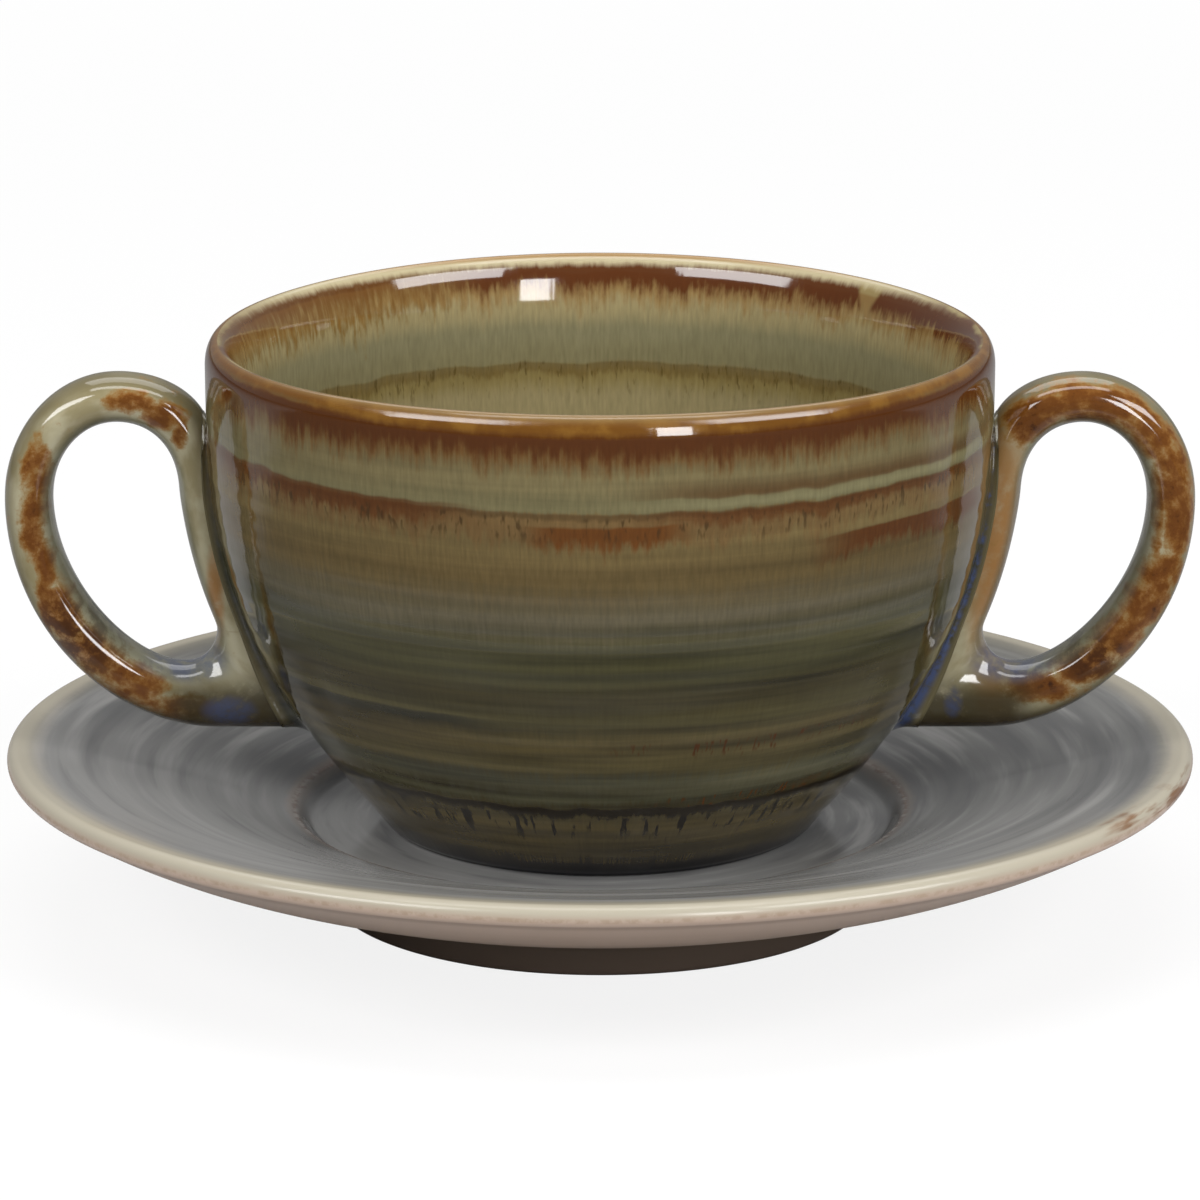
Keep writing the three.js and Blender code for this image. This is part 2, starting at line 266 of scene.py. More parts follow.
class GlazeColours(bpy.types.PropertyGroup):
    """Colours of the glaze"""

    sage: colour("Sage", "Where the glaze lies thick on the upper wall", 118, 107, 74)
    tan: colour("Tan", "Where the glaze has run thin", 116, 100, 64)
    taupe: colour("Taupe", "Under the runs, half way up", 95, 87, 65)
    olive: colour("Olive", "On the lower wall", 67, 60, 34)
    moss: colour("Moss", "Grey-green rings on the lower wall", 85, 83, 63)
    rust: colour("Rust", "Where the glaze breaks over an edge", 98, 54, 14)
    maroon: colour("Maroon", "In the thick of a run", 86, 45, 13)
    amber: colour("Amber", "On the outside of the lip", 108, 69, 20)
    cream: colour("Cream", "On the crest of the lip", 134, 109, 67)
    umber: colour("Umber", "Dark lines and drips", 44, 34, 18)
    celadon: colour("Celadon", "Body colour of the handles", 174, 167, 139)
    orange: colour("Orange", "Worn ridges of the handles", 128, 80, 26)
    pool: colour("Pool", "Blue where the glaze pools", 60, 74, 112)
    slate: colour("Slate", "Body colour of the saucer", 123, 123, 121)
    # Mist is also laid as painted light on the front and the left of the flange
    mist: colour("Mist", "Brushed rings on the saucer", 155, 154, 152)
    beige: colour("Beige", "Lip of the saucer", 175, 168, 151)
    clay: colour("Clay", "Underside of the saucer", 196, 173, 156)


class StageSettings(bpy.types.PropertyGroup):
    """Light and floor of the studio"""

    floor_size: length("Floor size", "Side of the square floor", 12.0)
    room: share("Room", "Brightness of the room above and behind the camera", 0.14)
    backdrop: share("Backdrop", "Brightness of the wall behind the cup", 0.26)
    paper: share("Paper", "How much light the floor gives back close round the cup", 0.48)
    back_paper: share("Back paper", "How much light the floor gives back behind the cup", 0.33)
    far_paper: share("Far paper", "How much light the floor gives back farther to the front", 0.1)
    key_power: share("Key lamp", "Power of the upright lamp beside the camera, in watts", 4.6)
    box_power: share("Softboxes", "Power of the softbox on each side, in watts", 8.2)
    overhead_power: share("Overhead", "Power of the lamp overhead, in watts", 4.6)
    back_power: share("Back lamp", "Power of the lamp high behind the cup, in watts", 3.4)


# Curves and surfaces

def smooth_step(value, low, high):
    """0 under low, 1 over high, and 3s^2 - 2s^3 between them, where s is the share of the way."""
    way = np.clip((value - low) / (high - low), 0.0, 1.0)
    return way * way * (3.0 - 2.0 * way)


def arc(centre, half_width, half_height, start, end, steps):
    """Points on an ellipse: centre + (half width cos a, half height sin a), with a in degrees."""
    angle = np.radians(np.linspace(start, end, steps))
    across = centre[0] + half_width * np.cos(angle)
    up = centre[1] + half_height * np.sin(angle)
    return np.stack([across, up], axis=1)


def line(start, end, steps, sag=0.0, skew=1.0):
    """Points from start to end, both left out, that sag below the straight line.

    The sag at the share s of the way is sag s^skew (1 - s), over the highest value of that product."""
    way = np.linspace(0.0, 1.0, steps + 2)[1:-1, None]
    points = (1.0 - way) * np.array(start) + way * np.array(end)
    most = (skew / (skew + 1.0)) ** skew / (skew + 1.0)
    points[:, 1] -= sag * (way ** skew * (1.0 - way))[:, 0] / most
    return points


def bend(start, corner, end, start_pull, end_pull, steps):
    """A cubic curve round a corner, with control points a share of the way from its ends to the corner."""
    way = np.linspace(0.0, 1.0, steps, endpoint=False)[:, None]
    start, corner, end = (np.array(point) for point in (start, corner, end))
    leave = start + (corner - start) * start_pull
    arrive = end + (corner - end) * end_pull
    rest = 1.0 - way
    return rest ** 3 * start + 3 * rest ** 2 * way * leave + 3 * rest * way ** 2 * arrive + way ** 3 * end


def grid_faces(rows, columns, closed):
    """Quads of a grid. Its columns run in a ring, and its rows too where it is closed."""
    row = np.arange(rows if closed else rows - 1)[:, None]
    column = np.arange(columns)[None, :]
    above = (row + 1) % rows
    beside = (column + 1) % columns
    corners = ((row, column), (row, beside), (above, beside), (above, column))
    return np.stack([r * columns + c for r, c in corners], axis=-1).reshape(-1, 4).tolist()


def turned(radius, height):
    """A surface of radius r and height z, rows of a profile by columns round Z: (r cos a, r sin a, z).

    A fan of triangles closes each end on the axis, at the mean height of the end row."""
    rows, columns = radius.shape
    angle = turn_angles(columns)
    points = np.stack([radius * np.cos(angle), radius * np.sin(angle), height], axis=-1).reshape(-1, 3)
    poles = np.array([[0.0, 0.0, height[0].mean()], [0.0, 0.0, height[-1].mean()]])
    ring = np.arange(columns)
    beside = (ring + 1) % columns
    last = (rows - 1) * columns
    bottom = np.stack([beside, ring, np.full(columns, rows * columns)], axis=1)
    top = np.stack([last + ring, last + beside, np.full(columns, rows * columns + 1)], axis=1)
    faces = grid_faces(rows, columns, False) + bottom.tolist() + top.tolist()
    return np.concatenate([points, poles]), faces


def turn_angles(columns):
    """Equal angles round the axis, one for each column."""
    return np.linspace(0.0, 2.0 * np.pi, columns, endpoint=False)[None, :]


def over_columns(values):
    """A value for each row of a profile as a grid, the same in every column."""
    return np.repeat(values.astype(float)[:, None], TURN_STEPS, axis=1)


def ring_waves(across, widths, drifts):
    """The mean of two sines, sin(2pi across / width + drift), each with its own width and its drift."""
    wide, narrow = (np.sin(2.0 * np.pi * across / width + drift) for width, drift in zip(widths, drifts))
    return (wide + narrow) / 2.0


def with_poles(values):
    """A grid of values as one list, with the end rows' values again for the two poles."""
    return np.concatenate([values.reshape(-1), [values[0].mean(), values[-1].mean()]])


def way_along(points):
    """The way along a line to each of its points, from the first one on."""
    return np.concatenate([[0.0], np.cumsum(np.linalg.norm(np.diff(points, axis=0), axis=1))])


def make_piece(name, surface, material, body):
    """Puts a surface into a smooth mesh that rides on a body and stands for the CAD node of its name."""
    points, faces, attributes = surface
    mesh = bpy.data.meshes.new(name)
    mesh.from_pydata(points.tolist(), [], faces)
    for key, values in attributes.items():
        mesh.attributes.new(key, "FLOAT", "POINT").data.foreach_set("value", values.astype(np.float32))
    mesh.shade_smooth()
    mesh.materials.append(material)
    piece = bpy.data.objects.new(name + "_glazed", mesh)
    bpy.context.scene.collection.objects.link(piece)
    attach(piece, body)
    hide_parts(name)
    return piece


def foot_ring(part, recess_steps, outer_end):
    """The section of a recess and of the foot ring round it, from the axis to the ring's outer edge.

    The outer edge is an arc that ends at the given angle in degrees."""
    edge = part.foot_round
    foot_in = part.foot_radius - part.foot_width
    recess = (POLE_RADIUS, part.recess_depth)
    return np.concatenate([
        [recess],
        line(recess, (foot_in - edge, part.recess_depth), recess_steps),
        arc((foot_in - edge, part.recess_depth - edge), edge, edge, 90.0, 0.0, FOOT_FILLET_STEPS),
        arc((foot_in + edge, edge), edge, edge, 180.0, 270.0, FOOT_EDGE_STEPS),
        arc((part.foot_radius - edge, edge), edge, edge, 270.0, outer_end, FOOT_EDGE_STEPS),
    ])


# Saucer

def saucer_profile(saucer):
    """Radius and height of the saucer's section, from the axis underneath, round the lip and back to it."""
    lip = saucer.lip_thickness / 2.0
    lip_centre = (saucer.radius - lip, saucer.height - lip)
    lean = math.degrees(saucer.lip_turn)
    bead = arc(lip_centre, lip, lip, lean - 90.0, lean + 90.0, SAUCER_LIP_STEPS)
    edge = saucer.foot_round
    foot_out = saucer.foot_radius + edge
    well_out = saucer.well_radius + saucer.well_step_width
    well_edge = (well_out, SEAT_HEIGHT + saucer.well_step_height)
    step_radius = np.linspace(well_out, saucer.well_radius, WELL_EDGE_STEPS)
    rise = smooth_step(step_radius, saucer.well_radius, well_out)
    step = np.stack([step_radius, SEAT_HEIGHT + saucer.well_step_height * rise], axis=1)
    return np.concatenate([
        foot_ring(saucer, SAUCER_RECESS_STEPS, SAUCER_FOOT_END),
        arc((foot_out, saucer.foot_height - edge), edge, edge, 180.0, 90.0, FOOT_FILLET_STEPS),
        line((foot_out, saucer.foot_height), bead[0], SAUCER_UNDER_STEPS, saucer.under_sag, UNDER_SKEW),
        bead,
        line(bead[-1], well_edge, FLANGE_STEPS, -saucer.flange_swell),
        step,
        line(step[-1], (POLE_RADIUS, SEAT_HEIGHT), WELL_FLOOR_STEPS),
        [(POLE_RADIUS, SEAT_HEIGHT)],
    ])


def saucer_surface(saucer):
    """The saucer's profile turned about Z, with shallow brushed rings on top of the flange.

    The rings lift the flange by relief times two sines of the radius, with slow drifts round the axis. The
    lip warps by -warp sin a, growing from the well outwards."""
    profile = saucer_profile(saucer)
    radius, height = (over_columns(values) for values in profile.T)
    angle = turn_angles(TURN_STEPS)
    top = over_columns(np.arange(len(profile)) > np.argmax(profile[:, 1]))
    flange = smooth_step(radius, *SAUCER_RINGS_START) * (1.0 - smooth_step(radius, *SAUCER_RINGS_END))
    waves = ring_waves(radius, SAUCER_RINGS, (angle, 2.0 * np.sin(angle)))
    lift = saucer.ring_relief * top * flange * waves
    warp = saucer.warp * smooth_step(radius, saucer.well_radius, saucer.radius) * -np.sin(angle)
    points, faces = turned(radius, height + lift + warp)
    return points, faces, {"top": with_poles(top)}


# Bowl

def wall_radius(bowl, height):
    """Outer radius at a height over the foot: foot + (rim - foot) (1 - (1 - s)^swell)^flare.

    Here s is the height's share of the way to the lip."""
    lip_height = bowl.height - bowl.rim_round_height
    way = np.clip(height / lip_height, 0.0, 1.0)
    swell = (1.0 - (1.0 - way) ** bowl.wall_swell) ** bowl.wall_flare
    return bowl.foot_radius + (bowl.rim_radius - bowl.foot_radius) * swell


def wall_slope(bowl, height):
    """How fast the wall's radius grows with height, as its change over a small step."""
    above = wall_radius(bowl, height + SLOPE_STEP)
    below = wall_radius(bowl, height - SLOPE_STEP)
    return (above - below) / (2.0 * SLOPE_STEP)


def off_the_wall(bowl, points):
    """Distance of points from the outer wall, outside counted up: (r - wall radius) / sqrt(1 + slope^2)."""
    height = points[..., 2] - SEAT_HEIGHT
    gap = np.hypot(points[..., 0], points[..., 1]) - wall_radius(bowl, height)
    return gap / np.sqrt(1.0 + wall_slope(bowl, height) ** 2)


def cavity(bowl, steps):
    """Inside of the bowl under its lip: mouth (1 - (1 - s)^swell)^(1 / corner), s the share of the depth.

    The steps close up towards the floor, as s is an even share to the third power."""
    floor = bowl.recess_depth + bowl.floor_thickness
    top = bowl.height - bowl.lip_taper_height
    mouth = bowl.rim_radius - bowl.rim_round_width - bowl.lip_taper_width
    way = np.linspace(1.0, 0.0, steps + 2)[1:-1] ** 3
    radius = mouth * (1.0 - (1.0 - way) ** bowl.cavity_swell) ** (1.0 / bowl.cavity_corner)
    return np.stack([radius, floor + (top - floor) * way], axis=1)


def bowl_profile(bowl):
    """Radius and height of the bowl's section, from the axis underneath, over the lip, to the floor."""
    lip_height = bowl.height - bowl.rim_round_height
    crest = bowl.rim_radius - bowl.rim_round_width
    floor = bowl.recess_depth + bowl.floor_thickness
    inside = cavity(bowl, CAVITY_STEPS)
    wall_height = np.linspace(bowl.foot_round, lip_height, BOWL_WALL_STEPS, endpoint=False)
    rim_round = (bowl.rim_round_width, bowl.rim_round_height)
    taper = (bowl.lip_taper_width, bowl.lip_taper_height)
    outer_lip = arc((crest, lip_height), *rim_round, 0.0, 90.0, OUTER_LIP_STEPS)
    inner_lip = arc((crest, bowl.height - bowl.lip_taper_height), *taper, 90.0, 180.0, INNER_LIP_STEPS)
    return np.concatenate([
        foot_ring(bowl, BOWL_RECESS_STEPS, BOWL_FOOT_END),
        np.stack([wall_radius(bowl, wall_height), wall_height], axis=1),
        outer_lip,
        inner_lip[1:],
        inside,
        line(inside[-1], (POLE_RADIUS, floor), BOWL_FLOOR_STEPS),
        [(POLE_RADIUS, floor)],
    ])


def bowl_surface(bowl):
    """The bowl's profile turned about Z, with throwing rings and a rim that sinks towards the handles.

    The rings move the radius by relief times two sines of the height, with drifts round the wall. The rim
    sinks by dip cos^2 a, growing from the middle of the wall to the crest."""
    profile = bowl_profile(bowl)
    radius, height = (over_columns(values) for values in profile.T)
    angle = turn_angles(TURN_STEPS)
    inside = over_columns(np.arange(len(profile)) > np.argmax(profile[:, 1]))
    wall = smooth_step(height, *BOWL_RINGS_START) * (1.0 - smooth_step(height, *BOWL_RINGS_END))
    radius = radius + bowl.ring_relief * wall * ring_waves(height, BOWL_RINGS, (angle, 1.0 - angle))
    dip = bowl.rim_dip * np.cos(angle) ** 2 * smooth_step(height, bowl.height / 2.0, bowl.height)
    points, faces = turned(radius, height - dip + SEAT_HEIGHT)
    return points, faces, {"inside": with_poles(inside)}


# Handles

def handle_loop(bowl, handle):
    """Two closed lines in the plane of X and Z, side by side round a handle, starting up the back strip.

    The first is the edge of the finger hole. The second is the outside of the loop, and lies in the wall
    along the bowl. Each is made of straight stretches and of bends round corners."""
    hole_top = handle.crown_top - handle.limb_thickness
    hole_outer = handle.outer - handle.limb_thickness
    hole_bottom = handle.heel_bottom + handle.heel_thickness
    shoulder = hole_top - handle.shoulder_drop
    crown_x = hole_outer - handle.crown_width
    bend_x = hole_outer - handle.lower_bend_width
    low = hole_bottom + handle.lower_corner
    high = hole_top - handle.upper_corner
    strip_z = np.linspace(low, high, STRIP_STEPS, endpoint=False)
    strip_x = wall_radius(bowl, strip_z - SEAT_HEIGHT)

    def wall_x(z):
        return float(wall_radius(bowl, np.array(z - SEAT_HEIGHT)))

    low_in = (wall_x(low) + handle.strip_thickness, low)
    high_in = (wall_x(high) + handle.strip_thickness, high)
    low_out = (wall_x(low) - handle.strip_sink, low)
    high_out = (wall_x(high) - handle.strip_sink, high)
    root = (wall_x(hole_top), hole_top)
    heel = (wall_x(handle.heel_bottom) + handle.heel_length, handle.heel_bottom)
    heel_in_wall = (wall_x(handle.heel_bottom) - handle.strip_sink, handle.heel_bottom)
    crown_in, crown_out = (crown_x, hole_top), (crown_x, handle.crown_top)
    widest_in, widest_out = (hole_outer, shoulder), (handle.outer, shoulder)
    bottom = (bend_x, hole_bottom)
    root_corner = (root[0] + handle.root_lean, handle.crown_top)
    heel_corner = (handle.outer, handle.heel_bottom)
    root_steps = ROOT_INSIDE_STEPS + ROOT_BEND_STEPS
    heel_steps = HEEL_STEPS + HEEL_INSIDE_STEPS
    inner = np.concatenate([
        np.stack([strip_x + handle.strip_thickness, strip_z], axis=1),
        bend(high_in, (high_in[0], hole_top), crown_in, STRIP_CORNER_PULL, STRIP_CORNER_PULL, root_steps),
        bend(crown_in, (hole_outer, hole_top), widest_in, CROWN_PULL, CROWN_PULL, CROWN_STEPS),
        bend(widest_in, (hole_outer, hole_bottom), bottom, HOLE_LIMB_PULL, HOLE_BEND_PULL, LIMB_STEPS),
        bend(bottom, (low_in[0], hole_bottom), low_in, STRIP_CORNER_PULL, STRIP_CORNER_PULL, heel_steps),
    ])
    outer = np.concatenate([
        np.stack([strip_x - handle.strip_sink, strip_z], axis=1),
        bend(high_out, root, root, ROOT_PULL, 0.0, ROOT_INSIDE_STEPS),
        bend(root, root_corner, crown_out, ROOT_PULL, CROWN_ROOT_PULL, ROOT_BEND_STEPS),
        bend(crown_out, (handle.outer, handle.crown_top), widest_out, CROWN_PULL, CROWN_PULL, CROWN_STEPS),
        bend(widest_out, heel_corner, heel, OUTER_LIMB_PULL, OUTER_HEEL_PULL, LIMB_STEPS),
        bend(heel, heel_in_wall, heel_in_wall, EVEN_PULL, EVEN_PULL, HEEL_STEPS),
        bend(heel_in_wall, low_out, low_out, EVEN_PULL, EVEN_PULL, HEEL_INSIDE_STEPS),
    ])
    return softened(inner), softened(outer)


def softened(loop):
    """A closed line with its kinks eased: a pass adds a quarter of both neighbours to half of a point."""
    for _ in range(SOFTENING_PASSES):
        loop = 0.25 * np.roll(loop, 1, axis=0) + 0.5 * loop + 0.25 * np.roll(loop, -1, axis=0)
    return loop


def handle_points(handle, loop, row, turn):
    """Points of a handle on the +X side: a squarish oval from the hole's edge to the outside, at loop rows.

    The oval is middle + half (outside - hole) c along the plane and depth / 2 s across it. Here c and s
    are the cosine and sine of the turn, raised to 2 / power with their signs kept."""
    rows = np.arange(len(loop[0]))
    inner, outer = (
        np.stack([np.interp(row, rows, edge[:, axis], period=len(rows)) for axis in (0, 1)], axis=-1)
        for edge in loop)
    power = 2.0 / handle.section_power
    along, across = (np.sign(wave) * np.abs(wave) ** power for wave in (np.cos(turn), np.sin(turn)))
    flat = (inner + outer) / 2.0 + (outer - inner) / 2.0 * along[..., None]
    return np.stack([flat[..., 0], across * handle.depth / 2.0, flat[..., 1]], axis=-1)


def handle_surface(bowl, handle):
    """The oval carried round the loop, rows of the loop by columns round the limb, closed both ways.

    Each point keeps its way along the loop in millimetres, and the cosine and sine of its turn."""
    loop = handle_loop(bowl, handle)
    row = np.arange(len(loop[0]), dtype=float)[:, None]
    turn = np.linspace(0.0, 2.0 * np.pi, HANDLE_TURN_STEPS, endpoint=False)[None, :]
    row, turn = np.broadcast_arrays(row, turn)
    points = handle_points(handle, loop, row, turn)
    faces = grid_faces(*row.shape, True)
    run = way_along((loop[0] + loop[1]) / 2.0)
    values = {
        "along": np.repeat(run / MM, HANDLE_TURN_STEPS),
        "across": np.cos(turn).reshape(-1),
        "front": np.sin(turn).reshape(-1),
    }
    return points.reshape(-1, 3), faces, values


def joint_line(bowl, handle, loop):
    """Row and turn on a handle of even places along the line where its surface meets the wall.

    Rays in the plane of row and turn leave the middle of the strip, inside the wall. Each stops where the
    distance off the wall changes sign."""
    rows = len(loop[0])
    middle = (STRIP_STEPS + ROOT_INSIDE_STEPS - HEEL_INSIDE_STEPS) / 2.0
    half_rows = middle + HEEL_INSIDE_STEPS + HEEL_STEPS - SEAM_SPARE_ROWS
    angle = np.linspace(0.0, 2.0 * np.pi, SEAM_RAYS, endpoint=False)[:, None]
    reach = np.linspace(0.0, 1.0, SEAM_RAY_STEPS)[None, :]
    row = middle + half_rows * reach * np.cos(angle)
    turn = SEAM_HALF_TURN * reach * np.sin(angle)
    gap = off_the_wall(bowl, handle_points(handle, loop, row % rows, turn))
    first = np.argmax(gap > 0.0, axis=1)[:, None]
    before = np.take_along_axis(gap, first - 1, axis=1)
    after = np.take_along_axis(gap, first, axis=1)
    stop = (first - 1.0 + before / (before - after)) / (SEAM_RAY_STEPS - 1)
    row = middle + half_rows * stop * np.cos(angle)
    turn = SEAM_HALF_TURN * stop * np.sin(angle)
    points = handle_points(handle, loop, row % rows, turn)[:, 0]
    run = way_along(np.append(points, points[:1], axis=0))
    even = np.linspace(0.0, run[-1], SEAM_STEPS, endpoint=False)
    row, turn = (np.interp(even, run, np.append(value[:, 0], value[0, 0])) for value in (row, turn))
    return row, turn


def unit(vectors):
    """Vectors at a length of one."""
    return vectors / np.linalg.norm(vectors, axis=-1, keepdims=True)


def seam_surface(bowl, handle):
    """The fillet round a handle's joint: a curve from the wall to the handle, closed inside the joint.

    At each place J the curve is (1 - q)^2 (J + w A) + 2 q (1 - q) J + q^2 (J + w H). Here A leads away
    along the wall, H up the handle, and w is the fillet's width, which grows towards the heel."""
    loop = handle_loop(bowl, handle)
    rows = len(loop[0])
    row, turn = joint_line(bowl, handle, loop)
    joint = handle_points(handle, loop, row % rows, turn)
    slope = wall_slope(bowl, joint[:, 2] - SEAT_HEIGHT)
    facing = unit(joint * np.array([1.0, 1.0, 0.0]))
    wall_out = unit(facing - slope[:, None] * np.array([0.0, 0.0, 1.0]))
    along = unit(np.roll(joint, -1, axis=0) - np.roll(joint, 1, axis=0))
    away = unit(np.cross(along, wall_out))
    away *= np.sign(np.mean(np.sum(away * (joint - joint.mean(axis=0)), axis=1)))
    farther_row = row + SEAM_CLIMB * (row - row.mean())
    climb = handle_points(handle, loop, farther_row % rows, turn * (1.0 + SEAM_CLIMB)) - joint
    climb = unit(climb - along * np.sum(climb * along, axis=1, keepdims=True))
    low = joint[:, 2].min()
    heel = 1.0 - smooth_step(joint[:, 2], low, low + SEAM_HEEL_HEIGHT)
    width = (handle.seam_width + handle.seam_heel_width * heel)[:, None, None]
    way = np.linspace(0.0, 1.0, SEAM_FILLET_STEPS)[None, :, None]
    joint, away, climb, wall_out = (value[:, None, :] for value in (joint, away, climb, wall_out))
    wall_end = joint + width * away - SEAM_TUCK * wall_out
    handle_end = joint + width * climb - SEAM_TUCK * away
    fillet = (1.0 - way) ** 2 * wall_end + 2.0 * way * (1.0 - way) * joint + way ** 2 * handle_end
    hidden = joint - SEAM_INSIDE * wall_out - SEAM_INSIDE * away
    points = np.concatenate([fillet, hidden], axis=1)
    creep = np.repeat(np.append(way[0, :, 0], 0.5)[None, :], len(points), axis=0)
    return points.reshape(-1, 3), grid_faces(*points.shape[:2], True), {"creep": creep.reshape(-1)}


def turned_half_round(surface):
    """The right side's surface turned half round about Z, which makes it the left side's."""
    points, faces, values = surface
    return points * np.array([-1.0, -1.0, 1.0]), faces, values


# Shading

class Shade:
    """A socket in a node tree. Arithmetic on it adds Math nodes, and make adds any other node."""

    def __init__(self, tree, socket=None):
        self.tree = tree
        self.socket = socket

    def make(self, kind, settings, inputs, output=0):
        """Adds a node with its settings, fills its inputs with values or links, and returns an output."""
        node = self.tree.nodes.new(kind)
        for key, value in settings.items():
            if key == "stops":
                set_stops(node.color_ramp, value)
            else:
                setattr(node, key, value)
        for key, value in inputs.items():
            if isinstance(value, Shade):
                self.tree.links.new(value.socket, node.inputs[key])
            else:
                node.inputs[key].default_value = value
        return Shade(self.tree, node.outputs[output])

    def maths(self, operation, *values):
        """Adds a Math node on values or links."""
        return self.make("ShaderNodeMath", {"operation": operation}, dict(enumerate(values)))

    def __add__(self, other):
        return self.maths("ADD", self, other)

    __radd__ = __add__

    def __sub__(self, other):
        return self.maths("SUBTRACT", self, other)

    def __rsub__(self, other):
        return self.maths("SUBTRACT", other, self)

    def __mul__(self, other):
        return self.maths("MULTIPLY", self, other)

    __rmul__ = __mul__

    def __truediv__(self, other):
        return self.maths("DIVIDE", self, other)

    def absolute(self):
        """This value without its sign."""
        return self.maths("ABSOLUTE", self)

    def larger(self, other):
        """The larger of this value and another."""
        return self.maths("MAXIMUM", self, other)

    def mixed(self, other, part):
        """This value with a part of it taken by another."""
        return self * (1.0 - part) + other * part

    def swing(self, amount):
        """Noise from 0 to 1 as a change that swings about zero."""
        return (self - 0.5) * amount

    def step(self, low, high):
        """0 at low and 1 at high, smooth between them. Low may be the larger of the two."""
        return self.make(
            "ShaderNodeMapRange", {"interpolation_type": "SMOOTHSTEP"},
            {"Value": self, "From Min": low, "From Max": high})

    def belt(self, rise, fall):
        """1 between a rise and a fall, each given by where it is 0 and where it is 1."""
        return self.step(*rise) * self.step(*fall)

    def scaled(self, amount):
        """This vector times a number."""
        return self.make("ShaderNodeVectorMath", {"operation": "SCALE"}, {0: self, "Scale": amount})

    def direction(self):
        """This vector at a length of one."""
        return self.make("ShaderNodeVectorMath", {"operation": "NORMALIZE"}, {0: self})

    def size(self):
        """The length of this vector."""
        return self.make("ShaderNodeVectorMath", {"operation": "LENGTH"}, {0: self}, "Value")

    def along(self, x, y):
        """How far this vector reaches along a level direction."""
        return self.make(
            "ShaderNodeVectorMath", {"operation": "DOT_PRODUCT"}, {0: self, 1: (x, y, 0.0)}, "Value")

    def drawn_out(self, times, **shift):
        """This vector so many times as long, moved along the axes that are named."""
        moved = self.make("ShaderNodeCombineXYZ", {}, shift)
        return self.make(
            "ShaderNodeVectorMath", {"operation": "MULTIPLY_ADD"}, {0: self, 1: (times,) * 3, 2: moved})

    def noise(self, detail=2.0, roughness=0.5):
        """Noise on a vector, with features about one unit wide."""
        return self.make(
            "ShaderNodeTexNoise", {"noise_dimensions": "3D"},
            {"Vector": self, "Scale": 1.0, "Detail": detail, "Roughness": roughness})

    def blend(self, under, over):
        """One colour laid over another, by this value."""
        settings = {"data_type": "RGBA", "blend_type": "MIX"}
        return self.make("ShaderNodeMix", settings, {0: self, 6: under, 7: over}, 2)

    def times(self, amount):
        """This colour times an amount."""
        settings = {"data_type": "RGBA", "blend_type": "MULTIPLY"}
        return self.make("ShaderNodeMix", settings, {0: 1.0, 6: self, 7: amount}, 2)

    def ramp(self, stops):
        """A colour from stops of position and colour."""
        return self.make("ShaderNodeValToRGB", {"stops": stops}, {0: self})


def set_stops(ramp, stops):
    """Gives a colour ramp its stops, each a position and a linear colour."""
    ramp.interpolation = "EASE"
    while len(ramp.elements) < len(stops):
        ramp.elements.new(1.0)
    for element, (position, tint) in zip(ramp.elements, stops):
        element.position = position
        element.color = (*tint, 1.0)


Place = namedtuple("Place", "point around radius x y height")


def place_on(paint):
    """The surface's point in millimetres, its direction from the axis, its radius, X, Y and height."""
    point = paint.make("ShaderNodeTexCoord", {}, {}, "Object").scaled(1.0 / MM)
    flat = paint.make("ShaderNodeVectorMath", {"operation": "MULTIPLY"}, {0: point, 1: (1.0, 1.0, 0.0)})
    x, y, height = (paint.make("ShaderNodeSeparateXYZ", {}, {0: point}, axis) for axis in "XYZ")
    return Place(point, flat.direction(), flat.size(), x, y, height)


def attribute_on(place, name):
    """A value stored on the mesh's points."""
    return place.point.make("ShaderNodeAttribute", {"attribute_name": name}, {}, "Fac")


def streaks(place, height, wide, long, offset=0.0, detail=2.0):
    """Noise drawn out down the wall, each streak so many millimetres wide and long."""
    return place.around.drawn_out(STREAK_RADIUS_MM / wide, Z=height / long + offset).noise(detail)


def rings(place, across, wide, turns, offset=0.0, detail=3.0):
    """Noise drawn out round the axis: rings so many millimetres wide that change a few times in a turn."""
    return place.around.drawn_out(turns, Z=across / wide + offset).noise(detail)


def sector(place, degrees, spread):
    """1 near an angle from the front, counted to the right, and 0 beyond the spread."""
    angle = math.radians(degrees)
    facing = place.around.along(math.sin(angle), -math.cos(angle))
    return facing.step(math.cos(math.radians(spread)), math.cos(math.radians(spread / 2.0)))


def tone(colours, tint):
    """A colour as it is, or the glaze colour of that name."""
    return getattr(colours, tint) if isinstance(tint, str) else tint


def lay(under, mask, tint, strength=1.0):
    """A colour over another one, where a mask is."""
    return (mask * strength).blend(under, (*tint, 1.0))


def new_glaze(name):
    """A material, and a Shade to paint in it."""
    material = bpy.data.materials.new(name)
    material.use_nodes = True
    return material, Shade(material.node_tree)


def finish_glaze(paint, tint, roughness, ripple, gloss=CUP_IOR):
    """Feeds a material's shader with a colour, a roughness and a bump."""
    shader = paint.tree.nodes["Principled BSDF"]
    bump = {"Strength": RIPPLE_STRENGTH, "Distance": RIPPLE_DEPTH, "Height": ripple}
    normal = paint.make("ShaderNodeBump", {}, bump, "Normal")
    for key, value in (("Base Color", tint), ("Roughness", roughness), ("Normal", normal)):
        paint.tree.links.new(value.socket, shader.inputs[key])
    shader.inputs["IOR"].default_value = gloss


# Glaze of the bowl

